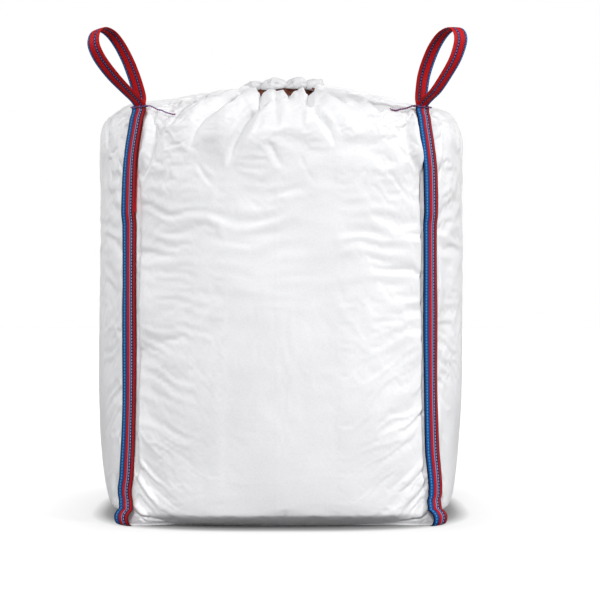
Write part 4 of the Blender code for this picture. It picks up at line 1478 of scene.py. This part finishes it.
# %% [markdown]
# ## Corner straps and lifting loops
#
# A strap is one length of webbing sewn down a corner, over the two legs of the loop at the top, and with
# a free end that curls outwards on the floor. Webbing keeps its width and bends only one way, so each is
# a flat strip carried along a path in the upright plane through its corner. Small sideways shifts and
# twists along the path keep it from looking like a ruler.

# %% Paths of the webbing
STRAP_WIDTH, LOOP_WIDTH, WEBBING, GAP = 0.060, 0.050, 0.002, 0.0003
STRAP_TOP, LEG_LENGTH, LEG_STEP = 1.177, 0.300, 0.040
THROAT = 1.179  # the height at which the loop's two legs part
CURL_HEIGHT, CURL_REACH = 0.024, 0.016  # half the curl's height and half its width
CURL_OFF = 0.004  # how far its middle stands off the line of the strap
CURL_POINTS, RUN_POINTS, LEG_POINTS, LOOP_POINTS = 26, 150, 40, 110
RUN_START = 0.072  # the height at which the strap lies against the seam
STRAP_CUP, LOOP_CUP = 0.0015, 0.0008  # how far the webbing's edges sag
WEBBING_CORNERS = 11
LEFT_LOOP = [
    # distance from the bag's axis in the corner's upright plane, and height
    (0.576, 1.191), (0.606, 1.212), (0.659, 1.250), (0.704, 1.291), (0.727, 1.325), (0.729, 1.350),
    (0.719, 1.369), (0.700, 1.377), (0.668, 1.368), (0.636, 1.341), (0.605, 1.300), (0.581, 1.256),
    (0.5645, 1.216), (0.5595, 1.196),
]
RIGHT_LOOP = [
    (0.576, 1.190), (0.612, 1.214), (0.648, 1.252), (0.680, 1.294), (0.6965, 1.332), (0.699, 1.356),
    (0.690, 1.375), (0.672, 1.384), (0.640, 1.373), (0.610, 1.344), (0.585, 1.302), (0.568, 1.259),
    (0.5605, 1.216), (0.559, 1.195),
]
HANGING_LOOP = [
    (0.569, 1.191), (0.582, 1.197), (0.596, 1.191), (0.606, 1.168), (0.612, 1.130), (0.616, 1.080),
    (0.621, 1.030), (0.632, 0.998), (0.653, 0.983), (0.676, 0.994), (0.689, 1.035), (0.688, 1.100),
    (0.676, 1.160), (0.652, 1.203), (0.620, 1.224), (0.588, 1.225), (0.567, 1.212), (0.5592, 1.196),
]
CORNERS = {
    # the corner's direction, its loop, and whether the loop's stripes run the other way
    "front_left": ((-1, -1), LEFT_LOOP, False),
    "front_right": ((1, -1), RIGHT_LOOP, True),
    "rear_left": ((-1, 1), HANGING_LOOP, True),
    "rear_right": ((1, 1), HANGING_LOOP, False),
}
# The seam's distance from the axis and its height, up to the shoulder
SEAM_ROWS = along(SEAM, np.arange(29) / 48) * (math.sqrt(2), 1)


def layer(number, heights):
    """The middle line of a layer of webbing laid over the seam, counted outwards from 0.

    It is the seam's distance at each height, plus the gaps and layers below it and half its own thickness.
    """
    distance = np.interp(heights, SEAM_ROWS[:, 1], SEAM_ROWS[:, 0])
    return np.stack([distance + GAP + WEBBING / 2 + number * (WEBBING + GAP), heights], axis=1)


def strap_line():
    """From the curl on the floor up the seam, and out over the loop's legs at the top."""
    legs_end = STRAP_TOP - LEG_LENGTH
    heights = np.linspace(RUN_START, STRAP_TOP, RUN_POINTS)
    raised = smooth_step(heights, legs_end - LEG_STEP, legs_end)[:, None]
    run = layer(0, heights) + raised * (layer(2, heights) - layer(0, heights))
    middle = layer(0, np.array([2 * CURL_HEIGHT]))[0] + (CURL_OFF, -CURL_HEIGHT)
    angles = np.radians(np.linspace(-90, 80, CURL_POINTS))
    reach, rise = CURL_REACH * np.cos(angles), (CURL_HEIGHT - WEBBING / 2) * np.sin(angles)
    return np.vstack([middle + np.stack([reach, rise], axis=1), run])


def loop_line(points):
    """Up the outer leg, round the loop and down the inner leg."""
    heights = np.linspace(STRAP_TOP - LEG_LENGTH, THROAT, LEG_POINTS)
    outer, inner = layer(1, heights), layer(0, heights)[::-1]
    loop = along([outer[-1], *points, inner[0]], np.linspace(0, 1, LOOP_POINTS)[1:-1])
    return np.vstack([outer, loop, inner])


def webbing_strip(line, corner, width, shift, roll, flip, cup):
    """A strip along a line in the corner's upright plane.

    shift moves it sideways and roll turns it about its own length; both are given along the line. flip
    turns its stripes round. The result is what mesh_from takes after the name.
    """
    outwards = np.array([corner[0], corner[1], 0.0]) / math.sqrt(2)
    up = np.array([0.0, 0.0, 1.0])
    across = np.cross(outwards, up)
    ahead = unit(np.gradient(line, axis=0))
    middle = line[:, :1] * outwards + line[:, 1:] * up + shift[:, None] * across
    thick = ahead[:, 1:] * outwards - ahead[:, :1] * up
    wide = np.broadcast_to(across, thick.shape)
    rolled_wide = np.cos(roll)[:, None] * wide + np.sin(roll)[:, None] * thick
    rolled_thick = np.cos(roll)[:, None] * thick - np.sin(roll)[:, None] * wide
    points, faces, uv, caps = ribbon(
        middle, rolled_wide, rolled_thick, width, WEBBING, corners=WEBBING_CORNERS, cup=cup,
    )
    if flip:
        uv = np.stack([1 - uv[..., 0], uv[..., 1]], axis=-1)
    return points, faces, uv, caps


print("strap line of", len(strap_line()), "points")

# %% Straps and loops
STRAP_SHIFTS = {
    # heights in metres and sideways shifts in millimetres, to the left seen from outside
    "front_left": [
        (0.0, 2), (0.03, 2), (0.045, -3), (0.062, 3), (0.085, 11), (0.105, 12), (0.135, 6), (0.2, 5),
        (0.35, 4), (0.6, 6), (0.9, 6), (1.03, 5), (1.10, 3), (1.18, 1),
    ],
    "front_right": [
        (0.0, -2), (0.03, 0), (0.050, 9), (0.066, 7), (0.085, -2), (0.115, -4), (0.16, 0), (0.2, 4),
        (0.35, 5), (0.6, 5), (0.9, 5), (1.00, 4), (1.06, 6), (1.12, 5), (1.16, 2), (1.18, 0),
    ],
}
STRAP_SHIFTS["rear_left"] = STRAP_SHIFTS["front_right"]
STRAP_SHIFTS["rear_right"] = STRAP_SHIFTS["front_left"]


def make_strap(place, corner):
    """The strap's line, shifted as the list says and rolled by a slow sine of its length."""
    line = strap_line()
    heights, shifts = np.array(STRAP_SHIFTS[place]).T
    shift = np.interp(line[:, 1], heights, shifts) * MM
    steps = np.concatenate([[0], np.cumsum(np.linalg.norm(np.diff(line, axis=0), axis=1))])
    roll = 0.03 * np.sin(steps * 17 + corner[0]) * smooth_step(steps, 0.08, 0.2)
    strip = webbing_strip(line, corner, STRAP_WIDTH, shift, roll, False, STRAP_CUP)
    mesh = mesh_from(f"strap_{place}", *strip)
    return place_piece(f"strap_{place}", mesh, STRAP_WEBBING_SHADED_EDGES, [f"corner_strap_{place}"])


def make_loop(place, corner, points, flip):
    """The loop's line, shifted and rolled by sines of its share, but only where it is free of the strap."""
    line = loop_line(points)
    share = np.linspace(0, 1, len(line))
    free = smooth_step(share, 0.24, 0.34) * (1 - smooth_step(share, 0.76, 0.84))
    roll = free * (0.10 * np.sin(9 * share + corner[0]) + 0.05 * np.sin(23 * share))
    shift = free * 0.002 * np.sin(12 * share + corner[1])
    strip = webbing_strip(line, corner, LOOP_WIDTH, shift, roll, flip, LOOP_CUP * free[:, None])
    mesh = mesh_from(f"loop_{place}", *strip)
    return place_piece(f"loop_{place}", mesh, LOOP_WEBBING, [f"lifting_loop_{place}"])


for place, (corner, loop_points, flip) in CORNERS.items():
    for piece in (make_strap(place, corner), make_loop(place, corner, loop_points, flip)):
        print(piece.name, len(piece.data.polygons), "faces")

# %% [markdown]
# ## Bindings
#
# A turn of cord is bound round the strap and the loop's two legs where they leave the bag, to keep them
# together. It follows the outline of that stack of webbing, a narrow rectangle with rounded corners.

# %% Bindings
BINDING_HEIGHT = 1.1725
BINDING_RADIUS = 0.002
BINDING_TILT = 0.002
BINDING_POINTS = 60


def binding_route(corner):
    """A rounded rectangle round the strap and the legs, in a plane that is almost level.

    Each of its four corners is a quarter circle round an edge of the stack, and the whole is then cut
    into equal steps.
    """
    clear = BINDING_RADIUS + GAP
    height = np.array([BINDING_HEIGHT])
    inner, outer = layer(0, height)[0, 0] - WEBBING / 2, layer(2, height)[0, 0] + WEBBING / 2
    outwards = np.array([corner[0], corner[1], 0.0]) / math.sqrt(2)
    up = np.array([0.0, 0.0, 1.0])
    across = np.cross(outwards, up)
    route = []
    for quarter, (out, side) in enumerate([(outer, 1), (inner, 1), (inner, -1), (outer, -1)]):
        for angle in np.radians(90 * quarter + np.array([0, 30, 60, 90])):
            distance = out + clear * math.cos(angle)
            sideways = side * STRAP_WIDTH / 2 + clear * math.sin(angle)
            tilt = BINDING_TILT * math.sin(angle) * side
            route.append(distance * outwards + (BINDING_HEIGHT + tilt) * up + sideways * across)
    closed = np.array(route + route[:1])
    reached = np.concatenate([[0], np.cumsum(np.linalg.norm(np.diff(closed, axis=0), axis=1))])
    wanted = np.linspace(0, reached[-1], BINDING_POINTS, endpoint=False)
    return np.stack([np.interp(wanted, reached, closed[:, k]) for k in range(3)], axis=1)


for place, (corner, _, _) in CORNERS.items():
    finish = PALE_CORD if "left" in place else DEEP_CORD
    mesh = twisted_cord(f"binding_{place}", binding_route(corner), BINDING_RADIUS, closed=True)
    binding = place_piece(f"binding_{place}", mesh, finish, [f"loop_binding_{place}"])
    print(binding.name, len(binding.data.polygons), "faces")

# %% [markdown]
# ## Floor and light
#
# The photograph was taken on a white sweep in soft light, and its background is pure white. The camera
# should see that white, but a floor that bright would also light the bag from below, and the bag's foot
# is the darkest part of its cloth. So the floor glows a little for the camera alone, and the bag sees a
# pale grey one. The world is brighter at the horizon than above, as a studio with light walls is. The key
# light comes from the front right and a second one from above the camera, and two very broad, weaker
# lights come from the left and the right. Together they make the folds show without hard shadows.

# %% Floor
FLOOR_HALF = 30.0
FOOTPRINT_POWER = 3  # the shadow is a square with very round corners: |x|^3 + |y|^3 is constant on it
FOOTPRINT_HALF = 0.47
GLOW_REACH = 0.60
FLOOR_TONE_SCALE = 3.0  # the floor's faint changes of tone, 330 mm apart


def floor_material():
    """White for the camera, darker for the bag, and with less glow the nearer it is to the bag's foot: a
    painted contact shadow.
    """
    made, tree, shader = new_material("white_studio_floor")
    place = add(tree, "ShaderNodeTexCoord")
    grain = add(
        tree, "ShaderNodeTexNoise", {"Vector": place.outputs["Object"], "Scale": FLOOR_TONE_SCALE},
    )
    tone = add(tree, "ShaderNodeValToRGB", {0: grain.outputs[0]}, [(0.0, "#868687"), (1.0, "#8a8a8b")])
    parts = add(tree, "ShaderNodeSeparateXYZ", {0: place.outputs["Object"]})
    powers = []
    for axis in (0, 1):
        size = add(tree, "ShaderNodeMath", {0: parts.outputs[axis]}, operation="ABSOLUTE")
        powers.append(
            add(tree, "ShaderNodeMath", {0: size.outputs[0], 1: FOOTPRINT_POWER}, operation="POWER")
        )
    both = add(
        tree, "ShaderNodeMath", {0: powers[0].outputs[0], 1: powers[1].outputs[0]}, operation="ADD",
    )
    half = add(tree, "ShaderNodeMath", {0: both.outputs[0], 1: 1 / FOOTPRINT_POWER}, operation="POWER")
    distance = add(
        tree, "ShaderNodeMapRange", {0: half.outputs[0], 1: FOOTPRINT_HALF, 2: FOOTPRINT_HALF + GLOW_REACH},
    )
    # Painted contact shadow: the glow is nearly black at the foot and grows to white 0.6 m away.
    glow = add(
        tree, "ShaderNodeValToRGB", {0: distance.outputs[0]},
        [(0.0, "#101010"), (0.08, "#757575"), (0.16, "#dcdcdc"), (0.45, "#eeeeee"), (1.0, "#f6f6f6")],
    )
    ray = add(tree, "ShaderNodeLightPath")
    seen = add(
        tree, "ShaderNodeMath", {0: ray.outputs["Is Camera Ray"], 1: glow.outputs[0]}, operation="MULTIPLY",
    )
    use(tree, shader, "Base Color", tone.outputs[0])
    use(tree, shader, "Emission Strength", seen.outputs[0])
    shader.inputs["Emission Color"].default_value = (1.0, 1.0, 1.0, 1.0)
    shader.inputs["Roughness"].default_value = 0.9
    shader.inputs["Specular IOR Level"].default_value = 0.1
    return made


floor_mesh = bpy.data.meshes.new("floor")
floor_corners = [(x * FLOOR_HALF, y * FLOOR_HALF, 0) for x, y in ((-1, -1), (1, -1), (1, 1), (-1, 1))]
floor_mesh.from_pydata(floor_corners, [], [(0, 1, 2, 3)])
floor_mesh.materials.append(floor_material())
floor = bpy.data.objects.new("floor", floor_mesh)
bpy.context.scene.collection.objects.link(floor)

# %% World and lamps
HORIZON_LIGHT, ZENITH_LIGHT = 0.84, 0.16
SUNS = {
    # watts per square metre, how wide it looks, bearing from the front to the right, height; in degrees
    "key": (1.40, 9, 58, 27),
    "top": (1.20, 12, -8, 27),
    "left": (0.90, 60, -88, 10),
    "right": (0.50, 60, 100, 10),
}

world = bpy.data.worlds.new("studio")
world.use_nodes = True
tree = world.node_tree
sky = tree.nodes["Background"]
direction = add(tree, "ShaderNodeTexCoord")
parts = add(tree, "ShaderNodeSeparateXYZ", {0: direction.outputs["Generated"]})
strength = add(
    tree, "ShaderNodeMapRange", {0: parts.outputs[2], 1: 0.0, 2: 1.0, 3: HORIZON_LIGHT, 4: ZENITH_LIGHT},
)
tree.links.new(strength.outputs[0], sky.inputs[1])
sky.inputs[0].default_value = (0.985, 0.99, 1.0, 1.0)
white = add(tree, "ShaderNodeBackground", {0: (1.0, 1.0, 1.0, 1.0), 1: 1.0})
ray = add(tree, "ShaderNodeLightPath")
both = add(
    tree, "ShaderNodeMixShader", {0: ray.outputs["Is Camera Ray"], 1: sky.outputs[0], 2: white.outputs[0]},
)
tree.links.new(both.outputs[0], tree.nodes["World Output"].inputs[0])
bpy.context.scene.world = world

for name, (energy, spread, bearing, height) in SUNS.items():
    lamp_data = bpy.data.lights.new(name, "SUN")
    lamp_data.energy = energy
    lamp_data.angle = math.radians(spread)
    lamp = bpy.data.objects.new(name, lamp_data)
    lamp.rotation_euler = (math.radians(90 - height), 0, math.radians(bearing))
    bpy.context.scene.collection.objects.link(lamp)
print("world", HORIZON_LIGHT, "to", ZENITH_LIGHT, "and lamps", list(SUNS))
